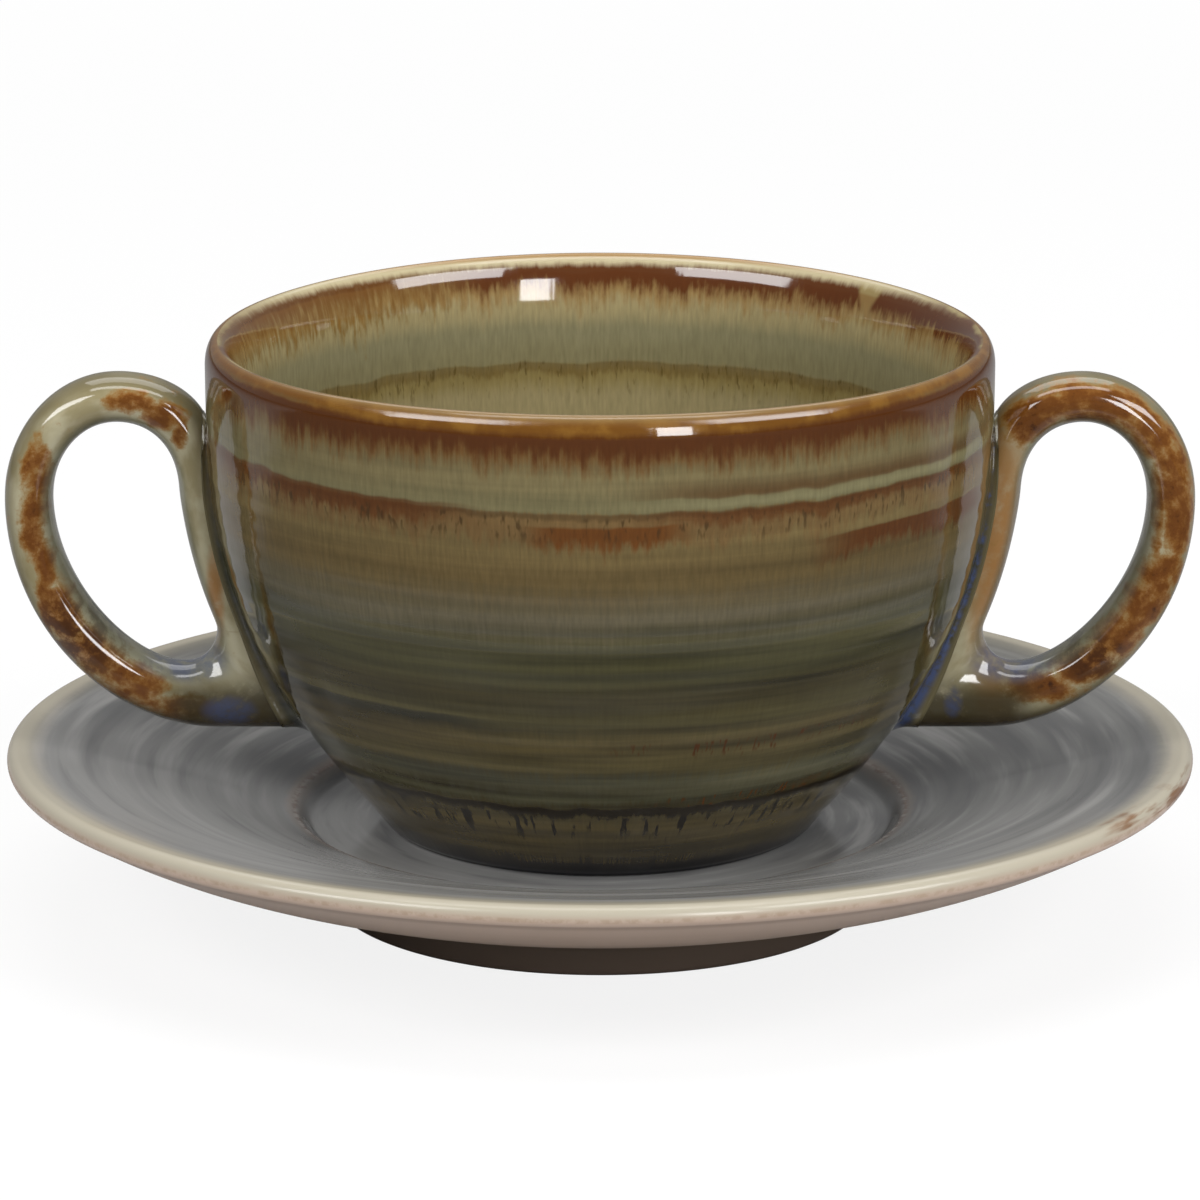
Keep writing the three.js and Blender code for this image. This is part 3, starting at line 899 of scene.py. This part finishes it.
# Bands of the wall and of the inside: height over the foot in mm, and the colour there
WALL_BANDS = (
    (0.0, srgb(15, 15, 22)), (1.8, srgb(31, 26, 22)), (3.4, srgb(72, 62, 36)), (8.0, srgb(89, 77, 45)),
    (11.0, srgb(79, 71, 44)), (12.6, "moss"), (15.0, "moss"), (17.0, srgb(88, 79, 49)),
    (21.0, srgb(90, 79, 49)), (24.0, srgb(77, 71, 44)), (27.0, "olive"), (30.5, srgb(63, 60, 35)),
    (34.0, srgb(67, 64, 38)), (38.0, "taupe"), (43.0, srgb(99, 83, 51)), (49.0, "tan"),
    (50.8, "tan"), (51.4, srgb(112, 105, 74)), (55.0, "sage"), (59.0, srgb(105, 81, 45)),
)
CAVITY_BANDS = (
    (6.0, "moss"), (12.0, srgb(91, 91, 70)), (30.0, srgb(112, 103, 72)), (44.0, srgb(139, 127, 91)),
    (47.0, srgb(125, 110, 67)), (49.5, srgb(120, 113, 82)), (53.0, srgb(127, 121, 91)),
    (56.0, srgb(149, 136, 98)), (60.0, srgb(149, 132, 87)),
)

# Belts and edges on the bowl in mm over the foot: where a change starts, and where it is full
PALE_STRIPE = ((51.0, 51.9), (53.2, 51.8))
OUTER_DASHES = ((46.5, 49.5), (51.0, 50.3))
INNER_DASHES = ((43.0, 47.0), (49.3, 48.5))
LOWER_WALL = (38.0, 30.0)
BELOW_LIP = (61.0, 58.0)
AMBER_LIP = (60.6, 61.7)
PALE_LIP = (61.0, 62.0)
OUTER_CREST = (61.6, 62.6)
INNER_CREST = (62.0, 62.6)
DULL_CREST = (61.25, 61.75)

# Sides of the bowl: an angle from the front, counted to the right, and a spread both ways, in degrees
FRONT_SIDE = (0.0, 50.0)
LEFT_SIDE = (-48.0, 34.0)
RIGHT_SIDE = (40.0, 40.0)
BACK_SIDE = (184.0, 88.0)
BACK_LEFT_SIDE = (-120.0, 42.0)
GAP_SPREAD = 14.0

# How much of a run's fray comes from long fibres and how far it goes, and how a run and a gathering line
# fade in and out, in mm at their sharp ends and in shares of their reach at the others
FIBRE_PART = 0.35
RUN_FRAY = 1.5
RUN_TOP = (-0.25, 0.2)
RUN_END = (0.0, 0.55)
GATHER_BOTTOM = (-0.2, 0.25)
GATHER_TOP = (0.0, 0.9)

# Runs of glaze: the line that a run leaves, in mm over the foot, how far down it reaches, its colour and
# strength, its side or None for all round, and the grain that breaks it up
Run = namedtuple("Run", "top reach tint strength side grain", defaults=(None, "fray"))
WALL_RUNS = (
    Run(51.1, 5.0, srgb(104, 66, 34), 0.4),
    Run(51.1, 0.9, "umber", 0.35),
    Run(51.6, 3.2, "maroon", 0.8, LEFT_SIDE),
    Run(51.0, 2.0, "maroon", 0.7, RIGHT_SIDE),
    Run(49.6, 3.4, "rust", 0.85, (1.0, 13.0)),
    Run(46.4, 3.6, "maroon", 0.9, (54.0, 25.0)),
    Run(20.8, 2.6, srgb(84, 46, 16), 0.95, (28.0, 30.0), "flecks"),
    Run(24.0, 2.8, srgb(36, 37, 32), 0.7, (-44.0, 30.0), "soft"),
    Run(12.6, 2.4, "rust", 0.9, (34.0, 26.0), "flecks"),
    Run(11.1, 1.6, srgb(32, 23, 9), 0.95),
    Run(9.8, 4.0, srgb(24, 17, 8), 0.95, None, "drips"),
    Run(61.0, 6.0, srgb(104, 68, 30), 0.6),
    Run(61.0, 4.2, srgb(80, 41, 13), 0.9),
)
CAVITY_RUNS = (
    Run(48.8, 2.2, srgb(92, 70, 30), 0.55),
    Run(61.5, 7.5, srgb(112, 86, 38), 0.85, BACK_LEFT_SIDE, "mottled"),
    Run(61.6, 2.4, srgb(92, 50, 14), 0.75, BACK_LEFT_SIDE),
    Run(60.6, 5.2, srgb(128, 92, 44), 0.6),
    Run(61.9, 4.4, srgb(82, 38, 9), 0.95, None, "held"),
)


def banded(level, bands, colours):
    """The colour at a level in millimetres over the foot, eased from band to band."""
    return (level / CUP_TOP_MM).ramp([(height / CUP_TOP_MM, tone(colours, tint)) for height, tint in bands])


def run_from(height, top, reach, broad, fray):
    """A run of glaze down from a level line: sharp at its top, and frayed towards its end.

    What is left of it is 1 - drop / reach, with a reach from half to one and a half times the one given.
    Noise moves that up and down before it is cut off."""
    drop = top - height
    left = 1.0 - drop / (broad * reach + reach * 0.5)
    return drop.step(*RUN_TOP) * (left + fray.swing(RUN_FRAY)).step(*RUN_END)


def gather_over(height, bottom, reach):
    """Glaze that gathers over a level line: it thickens on its way down, and ends sharply."""
    rise = height - bottom
    return rise.step(*GATHER_BOTTOM) * (1.0 - rise / reach).step(*GATHER_TOP)


def gap_in_run(place, height, degrees, tip, spread):
    """A gap in a run at an angle from the front: a point at the tip's height, wider by a share above it."""
    angle = math.radians(degrees)
    aside = place.point.along(math.cos(angle), math.sin(angle)).absolute()
    return ((height - tip) * spread - aside).step(-0.4, 0.5) * sector(place, degrees, GAP_SPREAD)


def lay_runs(tint, runs, place, wander, broad, grains, colours):
    """Lays runs of glaze over a colour, each with its grain: the noise at its end, and a mask over it."""
    for run in runs:
        fray, mask = grains[run.grain]
        mask = run_from(wander, run.top, run.reach, broad, fray) * mask
        if run.side:
            mask = mask * sector(place, *run.side)
        tint = lay(tint, mask, tone(colours, run.tint), run.strength)
    return tint


def wall_tint(place, colours):
    """The outer wall's colour: level bands, runs of rust from several lines, drips and fine streaks."""
    height = place.height - CUP_FOOT_MM
    fine = streaks(place, height, wide=0.4, long=2.6, detail=3.0)
    fibre = streaks(place, height, wide=0.42, long=30.0, offset=3.0, detail=3.0)
    fray = streaks(place, height, wide=0.9, long=2.6, offset=5.0, detail=4.0).mixed(fibre, FIBRE_PART)
    broad = streaks(place, height, wide=6.0, long=60.0, offset=7.0)
    drift = rings(place, height, wide=3.0, turns=1.6, offset=11.0)
    soft = rings(place, height, wide=1.7, turns=1.1, offset=17.0)
    flecks = streaks(place, height, wide=0.6, long=1.8, offset=23.0, detail=1.0).step(0.54, 0.7)
    drips = streaks(place, height, wide=1.5, long=4.0, offset=31.0).step(0.54, 0.62)
    wander = height + broad.swing(1.2) + drift.swing(1.0)
    lower = height.step(*LOWER_WALL)
    right = sector(place, *RIGHT_SIDE)
    tint = banded(wander + fibre.swing(2.4) + soft.swing(2.4), WALL_BANDS, colours)
    tint = tint.times(soft.swing(lower * 1.8 + 0.7) + 1.0)
    tint = lay(tint, gather_over(wander, bottom=52.6, reach=3.0) * right, srgb(86, 60, 32), 0.85)
    tint = lay(tint, wander.belt(*PALE_STRIPE) * right, srgb(136, 132, 98), 0.45)
    grains = {"fray": (fray, 1.0), "soft": (soft, 1.0), "flecks": (fray, flecks), "drips": (fray, drips)}
    tint = lay_runs(tint, WALL_RUNS, place, wander, broad, grains, colours)
    tint = lay(tint, flecks * wander.belt(*OUTER_DASHES), srgb(60, 44, 22), 0.7)
    tint = lip_tint(tint, place, height, fray, colours)
    below_lip = height.step(*BELOW_LIP)
    return tint.times(fine.swing(below_lip * (0.55 - lower * 0.25)) + 1.0)


def lip_tint(tint, place, height, fray, colours):
    """Amber on the lip's outside, lower in the front's middle, with golden mottling and a cream crest."""
    middle = sector(place, *FRONT_SIDE)
    golden = streaks(place, height, wide=4.0, long=3.0, offset=71.0, detail=4.0).step(0.46, 0.66)
    lip = (height + middle * 0.7 + fray.swing(0.9)).step(*AMBER_LIP)
    tint = lay(tint, lip, colours.amber)
    tint = lay(tint, lip * golden, srgb(138, 98, 38), 0.6)
    return lay(tint, height.step(*OUTER_CREST), colours.cream, 0.85)


def cavity_tint(place, colours):
    """The inside's colour: a pale lip, rust runs under it, sage with darker rings, and a mossy floor."""
    height = place.height - CUP_FOOT_MM
    fine = streaks(place, height, wide=0.45, long=2.6, offset=41.0, detail=3.0)
    fibre = streaks(place, height, wide=0.45, long=30.0, offset=43.0, detail=3.0)
    fray = streaks(place, height, wide=0.9, long=2.4, offset=45.0, detail=4.0).mixed(fibre, FIBRE_PART)
    broad = streaks(place, height, wide=7.0, long=60.0, offset=47.0)
    drift = rings(place, height, wide=5.0, turns=1.4, offset=53.0)
    flecks = streaks(place, height, wide=0.55, long=2.0, offset=59.0).step(0.58, 0.7)
    wander = height + broad.swing(1.5) + drift.swing(0.8)
    faint = sector(place, *BACK_LEFT_SIDE)
    gap = gap_in_run(place, height, degrees=131.0, tip=57.2, spread=0.5)
    held = (1.0 - gap * 0.85) * (1.0 - faint * 0.7)
    tint = banded(wander + fibre.swing(1.6), CAVITY_BANDS, colours)
    grains = {"fray": (fray, 1.0), "mottled": (fray, fray.step(0.3, 0.62)), "held": (fray, held)}
    tint = lay_runs(tint, CAVITY_RUNS, place, wander, broad, grains, colours)
    tint = lay(tint, flecks * wander.belt(*INNER_DASHES), srgb(70, 54, 24), 0.55)
    pale = (height + fray.swing(1.2)).step(*PALE_LIP) * sector(place, *BACK_SIDE)
    tint = lay(tint, pale, srgb(182, 170, 136))
    tint = lay(tint, height.step(*INNER_CREST), srgb(150, 116, 66))
    below_lip = height.step(*BELOW_LIP)
    return tint.times(fine.swing(below_lip * 0.55) + 1.0)


def cup_glaze(colours):
    """Reactive glaze of the bowl: olive and tan bands with runs of rust outside, and sage inside."""
    material, paint = new_glaze("cup_glaze")
    place = place_on(paint)
    tint = attribute_on(place, "inside").blend(wall_tint(place, colours), cavity_tint(place, colours))
    ripple = streaks(place, place.height, wide=2.0, long=12.0, offset=61.0)
    crest = (place.height - CUP_FOOT_MM).step(*DULL_CREST)
    finish_glaze(paint, tint, ripple * 0.04 + crest * 0.14 + 0.05, ripple)
    return material


# Glaze of the handles

# Middle of the finger hole: distance from the axis and height over the table in mm
HOLE_MIDDLE = (58.5, 46.0)

# Rust on each handle's face: distance from the axis, height over the table, half width, half height in mm
LEFT_RUST = (
    (58.0, 65.0, 2.8, 1.3), (54.0, 63.2, 2.8, 1.7), (52.0, 60.6, 0.9, 1.8), (69.8, 55.6, 1.9, 4.0),
    (70.2, 50.0, 1.6, 4.6), (69.0, 44.0, 1.1, 4.0), (67.2, 37.6, 3.4, 4.0), (63.2, 33.0, 3.8, 3.6),
    (58.8, 28.8, 4.2, 2.8), (53.0, 25.6, 4.0, 1.7),
)
RIGHT_RUST = (
    (53.0, 63.0, 3.6, 3.2), (58.5, 65.3, 5.0, 3.2), (64.0, 64.8, 5.0, 3.2), (69.0, 61.4, 3.4, 3.8),
    (72.0, 56.0, 3.4, 5.4), (72.8, 50.5, 2.6, 5.0), (69.2, 52.0, 0.9, 5.5), (70.6, 43.0, 3.0, 2.4),
    (68.0, 39.2, 3.2, 2.8), (64.0, 35.0, 3.8, 3.2), (60.0, 31.6, 4.0, 2.8), (55.0, 28.4, 4.2, 1.9),
)

# The hole's lower corner, in the same four figures
LOWER_CORNER = (51.5, 31.0, 4.4, 2.2)

# A handle's rust and how far it has worn, then the same four figures for its deepest brown, a blue pool on
# the heel and an orange strip up the back
Marks = namedtuple("Marks", "rust wear deep pool strip")
LEFT_MARKS = Marks(
    LEFT_RUST, 0.82, (65.0, 34.8, 4.6, 4.2), (46.4, 25.2, 2.6, 1.6), (48.0, 39.5, 0.9, 5.5))
RIGHT_MARKS = Marks(
    RIGHT_RUST, 0.89, (61.4, 32.2, 3.4, 2.4), (44.2, 26.4, 0.9, 1.6), (49.6, 44.0, 3.0, 17.0))

# Stages of the wear: where a stage starts and is full, its colour and its strength
WEAR_STAGES = (
    (0.18, 0.5, srgb(142, 108, 58), 0.75),
    (0.38, 0.72, "orange", 0.85),
    (0.58, 0.92, "rust", 0.85),
    (0.95, 1.25, srgb(46, 24, 10), 0.8),
)

# Heel of a handle, and the painted shade under it, in mm from the axis or over the table: where each starts
# and is full
HEEL_REACH = (57.0, 51.0)
HEEL_HEIGHT = (31.5, 26.5)
SHADED_UNDERSIDE_HEIGHT = (31.0, 25.0)

# How far out a spot has faded, as a square of half widths, and how much of the mottling follows the limb
SPOT_FADE = 2.6
LIMB_PART = 0.4

# How blue the groove of each seam is
LEFT_SEAM_BLUE = 0.1
RIGHT_SEAM_BLUE = 0.85


def spot_on(place, reach, spot):
    """1 at the middle of a spot on a handle's face, falling to 0 round it."""
    centre_x, centre_z, half_x, half_z = spot
    aside = (reach - centre_x) / half_x
    up = (place.height - centre_z) / half_z
    return 1.0 - (aside * aside + up * up).step(0.0, SPOT_FADE)


def limb_grain(place, reach):
    """Noise drawn out along a limb: slow round the middle of the finger hole, and fine across the limb."""
    hole_x, hole_z = HOLE_MIDDLE
    offset = reach.make("ShaderNodeCombineXYZ", {}, {"X": reach - hole_x, "Z": place.height - hole_z})
    return offset.direction().drawn_out(5.5, Y=offset.size() / 1.6 + place.y / 2.5).noise(5.0, 0.62)


def handle_tint(place, colours, marks):
    """Celadon that breaks to rust in mottled streaks along the limb, with blue pools in low corners, and
    painted shade underneath and inside the finger hole.
    """
    reach = place.x.absolute()
    along, across, front = (attribute_on(place, name) for name in ("along", "across", "front"))
    blotch = place.point.scaled(0.5).noise(6.0, 0.65)
    mottle = blotch.mixed(limb_grain(place, reach), LIMB_PART).swing(4.2)
    limb = along.make("ShaderNodeCombineXYZ", {}, {"X": along / 6.0, "Y": across, "Z": front + 5.0})
    wash = limb.noise(4.0).step(0.35, 0.65)
    tint = wash.blend((*srgb(144, 134, 101), 1.0), (*colours.celadon, 1.0))
    tint = lay(tint, across.step(0.25, 0.9), srgb(100, 91, 62), 0.7)
    strip = spot_on(place, reach, marks.strip) * (mottle * 0.5 + 0.8).step(0.1, 0.9)
    tint = lay(tint, strip, srgb(150, 106, 56), 0.9)
    worn = reduce(Shade.larger, [spot_on(place, reach, patch) for patch in marks.rust])
    broken = worn * marks.wear * front.absolute() + mottle * 0.6
    for start, full, rust, strength in WEAR_STAGES:
        tint = lay(tint, broken.step(start, full), tone(colours, rust), strength)
    deep = spot_on(place, reach, marks.deep) * (mottle + 0.6).step(0.2, 0.8)
    tint = lay(tint, deep, srgb(62, 34, 12), 0.8)
    heel = reach.step(*HEEL_REACH) * place.height.step(*HEEL_HEIGHT)
    tint = lay(tint, heel * (mottle * 0.4 + 0.8).step(0.1, 0.8), srgb(54, 46, 23), 0.92)
    # Painted shade: dark brown along the outside of the loop low down
    under = place.height.step(*SHADED_UNDERSIDE_HEIGHT) * across.step(0.2, 0.9)
    tint = lay(tint, under, srgb(58, 44, 24), 0.75)
    # Painted shade: grey over the faces inside the finger hole; the lower corner's blue pool keeps to the
    # same side
    inner = across.step(-0.35, -0.85)
    tint = lay(tint, inner, srgb(104, 108, 96), 0.6)
    pooled = (spot_on(place, reach, LOWER_CORNER) * inner).larger(spot_on(place, reach, marks.pool))
    return lay(tint, pooled * (mottle * 0.5 + 0.6).step(0.2, 0.8), colours.pool, 0.65)


def handle_glaze(name, colours, marks):
    """Glossy celadon of one handle, worn to rust in its own patches."""
    material, paint = new_glaze(name)
    place = place_on(paint)
    ripple = place.point.scaled(0.35).noise(2.0)
    finish_glaze(paint, handle_tint(place, colours, marks), ripple * 0.05 + 0.06, ripple)
    return material


def seam_glaze(name, colours, blue):
    """Glaze round a joint: the wall's colour to one side, the handle's to the other, a pool between."""
    material, paint = new_glaze(name)
    place = place_on(paint)
    creep = attribute_on(place, "creep")
    speckle = place.point.scaled(0.9).noise(4.0, 0.65)
    side = (creep + speckle.swing(0.5)).step(0.5, 0.85)
    tint = side.blend(wall_tint(place, colours), (*srgb(98, 90, 64), 1.0))
    groove = creep.belt((0.1, 0.42), (0.9, 0.58))
    tint = lay(tint, groove, srgb(46, 47, 40), 0.6)
    pooled = groove * (speckle.swing(2.0) + (48.0 - place.height) / 60.0).step(-0.1, 0.4)
    tint = lay(tint, pooled, colours.pool, blue)
    finish_glaze(paint, tint, speckle * 0.05 + 0.06, speckle)
    return material


# Glaze of the saucer

# Belts and edges on the saucer, in mm from the axis or over the table: where a change starts and is full
WELL_EDGE = ((36.9, 38.1), (40.2, 39.0))
WORN_EDGE = ((37.95, 38.55), (39.3, 38.6))
BROWN_TRACE = ((19.25, 19.6), (20.15, 19.8))
BEIGE_LIP = (69.0, 73.2)
SHADED_BACK_LIP = (65.5, 70.5)
DULL_FLANGE = (37.0, 48.0)
OUTSIDE = (71.4, 72.6)
BEIGE_OUTSIDE = (19.3, 20.7)
STAINED_OUTSIDE = (18.5, 19.5)
SHADED_UNDERSIDE = (13.5, 5.5)
SHADED_FOOT = (5.2, 3.6)

# Sides of the saucer: an angle from the front, counted to the right, and a spread both ways, in degrees
LIT_FRONT = (0.0, 75.0)
LIT_LEFT = (-62.0, 44.0)
SHADED_BACK = (180.0, 75.0)
STAINED_SIDE = (68.0, 15.0)


def saucer_glaze(colours):
    """Slate glaze with brushed rings, shinier in the worn well, with a beige lip and a clay underside."""
    material, paint = new_glaze("saucer_glaze")
    place = place_on(paint)
    top = attribute_on(place, "top")
    brush = rings(place, place.radius, wide=2.6, turns=1.4, offset=3.0)
    speckle = place.point.scaled(0.55).noise(4.0, 0.65)
    tint = top.blend((*colours.clay, 1.0), saucer_top_tint(place, colours, brush, speckle))
    tint = saucer_side_tint(tint, place, colours, 1.0 - top, speckle)
    flange = place.radius.step(*DULL_FLANGE)
    finish_glaze(paint, tint, brush * 0.06 + flange * 0.12 + 0.08, brush * 0.5, SAUCER_IOR)
    return material


def saucer_top_tint(place, colours, brush, speckle):
    """Slate with paler brushed rings, brown wear round the well, painted light at the front and left, and a
    beige lip with painted shade at the back.
    """
    sweep = rings(place, place.radius, wide=6.0, turns=1.0, offset=9.0, detail=2.0)
    tint = sweep.step(0.36, 0.64).blend((*srgb(100, 100, 100), 1.0), (*colours.slate, 1.0))
    tint = lay(tint, brush.step(0.46, 0.72), colours.mist, 0.8)
    # Painted light: paler mist over the front and the left of the flange
    tint = lay(tint, sector(place, *LIT_FRONT), colours.mist, 0.3)
    tint = lay(tint, sector(place, *LIT_LEFT), colours.mist, 0.5)
    tint = lay(tint, brush.step(0.46, 0.24), srgb(80, 80, 81), 0.5)
    edge = place.radius + speckle.swing(0.8)
    tint = lay(tint, edge.belt(*WELL_EDGE), srgb(146, 130, 116), 0.5)
    tint = lay(tint, edge.belt(*WORN_EDGE) * speckle.step(0.4, 0.55), srgb(92, 66, 46), 0.7)
    tint = lay(tint, edge.step(*BEIGE_LIP), colours.beige)
    # Painted shade: a grey tone over the back of the beige lip
    return lay(tint, edge.step(*SHADED_BACK_LIP) * sector(place, *SHADED_BACK), srgb(112, 109, 98), 0.6)


def saucer_side_tint(tint, place, colours, below, speckle):
    """Beige over the lip's outside, a brown trace under it, a smear on the right, and painted shade over
    the underside and the foot.
    """
    outside = place.radius.step(*OUTSIDE)
    tint = lay(tint, outside * place.height.step(*BEIGE_OUTSIDE), colours.beige)
    trace = place.height.belt(*BROWN_TRACE) * below
    tint = lay(tint, trace * speckle.step(0.4, 0.6), srgb(150, 126, 94), 0.35)
    smear = rings(place, place.height, wide=1.1, turns=5.0, offset=21.0, detail=4.0).step(0.44, 0.57)
    stained = sector(place, *STAINED_SIDE) * outside * place.height.step(*STAINED_OUTSIDE)
    tint = lay(tint, stained * smear, srgb(118, 74, 34), 0.85)
    tint = lay(tint, place.height.step(*SHADED_UNDERSIDE) * below, srgb(150, 130, 115), 0.7)
    # Painted shade: darker clay over the foot
    return lay(tint, place.height.step(*SHADED_FOOT), srgb(80, 69, 60), 0.85)


# The stage

def add_lamp(lamp, power):
    """A soft area lamp in its place round the cup, aimed at it and rolled."""
    light = bpy.data.lights.new(lamp.name, "AREA")
    light.shape = "RECTANGLE"
    light.size = lamp.width
    light.size_y = lamp.height
    light.energy = power
    holder = bpy.data.objects.new(lamp.name, light)
    turn, lift = math.radians(lamp.azimuth), math.radians(lamp.elevation)
    away = Vector((math.sin(turn) * math.cos(lift), -math.cos(turn) * math.cos(lift), math.sin(lift)))
    holder.location = VIEW_AIM + away * lamp.distance
    tilt = Quaternion((0.0, 0.0, 1.0), math.radians(lamp.roll))
    holder.rotation_euler = (away.to_track_quat("Z", "Y") @ tilt).to_euler()
    bpy.context.scene.collection.objects.link(holder)


def add_camera():
    """The camera, at the photograph's distance, height and lens."""
    view = bpy.data.cameras.new("photo_camera")
    view.lens = VIEW_LENS
    view.sensor_width = VIEW_SENSOR
    camera = bpy.data.objects.new("photo_camera", view)
    away = Vector((0.0, -math.cos(VIEW_ELEVATION), math.sin(VIEW_ELEVATION)))
    camera.location = VIEW_AIM + away * VIEW_DISTANCE
    camera.rotation_euler = away.to_track_quat("Z", "Y").to_euler()
    bpy.context.scene.collection.objects.link(camera)
    bpy.context.scene.camera = camera


def empty_tree(owner):
    """A Shade to paint with in the cleared node tree of a material or a world."""
    owner.use_nodes = True
    owner.node_tree.nodes.clear()
    return Shade(owner.node_tree)


def send_out(surface, kind):
    """Links a finished shader to a new output node of a kind."""
    output = surface.tree.nodes.new(kind)
    surface.tree.links.new(surface.socket, output.inputs["Surface"])


def floor_material(stage):
    """White for the camera, with a light shadow, and a paper for other rays.

    The paper is palest close round the cup, darker behind it, and darkest farther to the front."""
    material = bpy.data.materials.new("studio_floor")
    paint = empty_tree(material)
    seen = paint.make("ShaderNodeLightPath", {}, {}, "Is Camera Ray")
    place = paint.make("ShaderNodeTexCoord", {}, {}, "Object")
    away = place.size()
    behind = paint.make("ShaderNodeSeparateXYZ", {}, {0: place}, "Y").step(*FLOOR_BEHIND)
    shade = behind * (stage.back_paper - stage.far_paper) + stage.far_paper
    shade = away.step(*FLOOR_NEAR) * (stage.paper - shade) + shade
    paper = paint.make("ShaderNodeBsdfDiffuse", {}, {"Color": seen * (FLOOR_WHITE - shade) + shade})
    glow = paint.make("ShaderNodeEmission", {}, {"Color": WHITE, "Strength": 1.0})
    white = seen * (away.step(*FLOOR_FAR) * (1.0 - FLOOR_GLOW) + FLOOR_GLOW)
    surface = paint.make("ShaderNodeMixShader", {}, {0: white, 1: paper, 2: glow})
    send_out(surface, "ShaderNodeOutputMaterial")
    return material


def set_room(stage):
    """A plain room: dim round the camera, with a pale backdrop behind the cup."""
    world = bpy.data.worlds.new("studio_room")
    paint = empty_tree(world)
    direction = paint.make("ShaderNodeTexCoord", {}, {}, "Generated")
    back = paint.make("ShaderNodeSeparateXYZ", {}, {0: direction}, "Y")
    strength = back.step(*BACKDROP_EDGE) * (stage.backdrop - stage.room) + stage.room
    glow = paint.make("ShaderNodeBackground", {}, {"Color": WHITE, "Strength": strength})
    send_out(glow, "ShaderNodeOutputWorld")
    bpy.context.scene.world = world


def add_floor(stage):
    """A square floor, just under the saucer's foot."""
    half = stage.floor_size / 2.0
    corners = [(x * half, y * half, -FLOOR_DROP) for x, y in ((-1, -1), (1, -1), (1, 1), (-1, 1))]
    mesh = bpy.data.meshes.new("studio_floor")
    mesh.from_pydata(corners, [], [(0, 1, 2, 3)])
    mesh.materials.append(floor_material(stage))
    floor = bpy.data.objects.new("studio_floor", mesh)
    bpy.context.scene.collection.objects.link(floor)


# Operators

class BOUILLON_OT_saucer(bpy.types.Operator):
    """Make the saucer"""

    bl_idname = "bouillon.saucer"
    bl_label = "Make the saucer"

    def execute(self, context):
        surface = saucer_surface(context.scene.bouillon_saucer)
        glaze = saucer_glaze(context.scene.bouillon_colours)
        make_piece("saucer", surface, glaze, "saucer")
        return {"FINISHED"}


class BOUILLON_OT_bowl(bpy.types.Operator):
    """Make the cup's bowl"""

    bl_idname = "bouillon.bowl"
    bl_label = "Make the bowl"

    def execute(self, context):
        surface = bowl_surface(context.scene.bouillon_bowl)
        glaze = cup_glaze(context.scene.bouillon_colours)
        make_piece("bowl", surface, glaze, "cup")
        return {"FINISHED"}


class BOUILLON_OT_handles(bpy.types.Operator):
    """Make the two loop handles"""

    bl_idname = "bouillon.handles"
    bl_label = "Make the handles"

    def execute(self, context):
        scene = context.scene
        right = handle_surface(scene.bouillon_bowl, scene.bouillon_handle)
        left = turned_half_round(right)
        for side, surface, marks in (("left", left, LEFT_MARKS), ("right", right, RIGHT_MARKS)):
            glaze = handle_glaze(f"{side}_handle_glaze", scene.bouillon_colours, marks)
            make_piece(f"{side}_handle", surface, glaze, "cup")
        return {"FINISHED"}


class BOUILLON_OT_seams(bpy.types.Operator):
    """Make the fillets of slip round the handles' joints"""

    bl_idname = "bouillon.seams"
    bl_label = "Make the slip seams"

    def execute(self, context):
        scene = context.scene
        right = seam_surface(scene.bouillon_bowl, scene.bouillon_handle)
        left = turned_half_round(right)
        for side, surface, blue in (("left", left, LEFT_SEAM_BLUE), ("right", right, RIGHT_SEAM_BLUE)):
            glaze = seam_glaze(f"{side}_seam_glaze", scene.bouillon_colours, blue)
            make_piece(f"{side}_slip_seam", surface, glaze, "cup")
        return {"FINISHED"}


class BOUILLON_OT_stage(bpy.types.Operator):
    """Set the floor, the room, the lamps and the camera"""

    bl_idname = "bouillon.stage"
    bl_label = "Set the stage"

    def execute(self, context):
        stage = context.scene.bouillon_stage
        add_floor(stage)
        set_room(stage)
        for lamp in LAMPS:
            add_lamp(lamp, getattr(stage, lamp.power))
        add_camera()
        context.scene.view_settings.view_transform = "Standard"
        return {"FINISHED"}


class BOUILLON_PT_cup(bpy.types.Panel):
    """Lists the pieces of the bouillon cup and their sizes"""

    bl_idname = "BOUILLON_PT_cup"
    bl_label = "Bouillon cup"
    bl_space_type = "VIEW_3D"
    bl_region_type = "UI"
    bl_category = "Bouillon cup"

    def draw(self, context):
        for operator in OPERATORS:
            self.layout.operator(operator.bl_idname)
        for key in GROUPS:
            group = getattr(context.scene, key)
            column = self.layout.box().column()
            for field in group.__annotations__:
                column.prop(group, field)


GROUPS = {
    "bouillon_saucer": SaucerSizes,
    "bouillon_bowl": BowlSizes,
    "bouillon_handle": HandleSizes,
    "bouillon_colours": GlazeColours,
    "bouillon_stage": StageSettings,
}
OPERATORS = (
    BOUILLON_OT_saucer,
    BOUILLON_OT_bowl,
    BOUILLON_OT_handles,
    BOUILLON_OT_seams,
    BOUILLON_OT_stage,
)


def register():
    """Registers the classes, and hangs each group of sizes on the scene."""
    for group in GROUPS.values():
        bpy.utils.register_class(group)
    for operator in OPERATORS:
        bpy.utils.register_class(operator)
    bpy.utils.register_class(BOUILLON_PT_cup)
    for key, group in GROUPS.items():
        setattr(bpy.types.Scene, key, bpy.props.PointerProperty(type=group))


def unregister():
    """Takes away what register added."""
    for key in GROUPS:
        delattr(bpy.types.Scene, key)
    bpy.utils.unregister_class(BOUILLON_PT_cup)
    for operator in reversed(OPERATORS):
        bpy.utils.unregister_class(operator)
    for group in reversed(list(GROUPS.values())):
        bpy.utils.unregister_class(group)


def main():
    """Makes every piece and the stage."""
    register()
    bpy.ops.bouillon.saucer()
    bpy.ops.bouillon.bowl()
    bpy.ops.bouillon.handles()
    bpy.ops.bouillon.seams()
    bpy.ops.bouillon.stage()


if __name__ == "__main__":
    main()
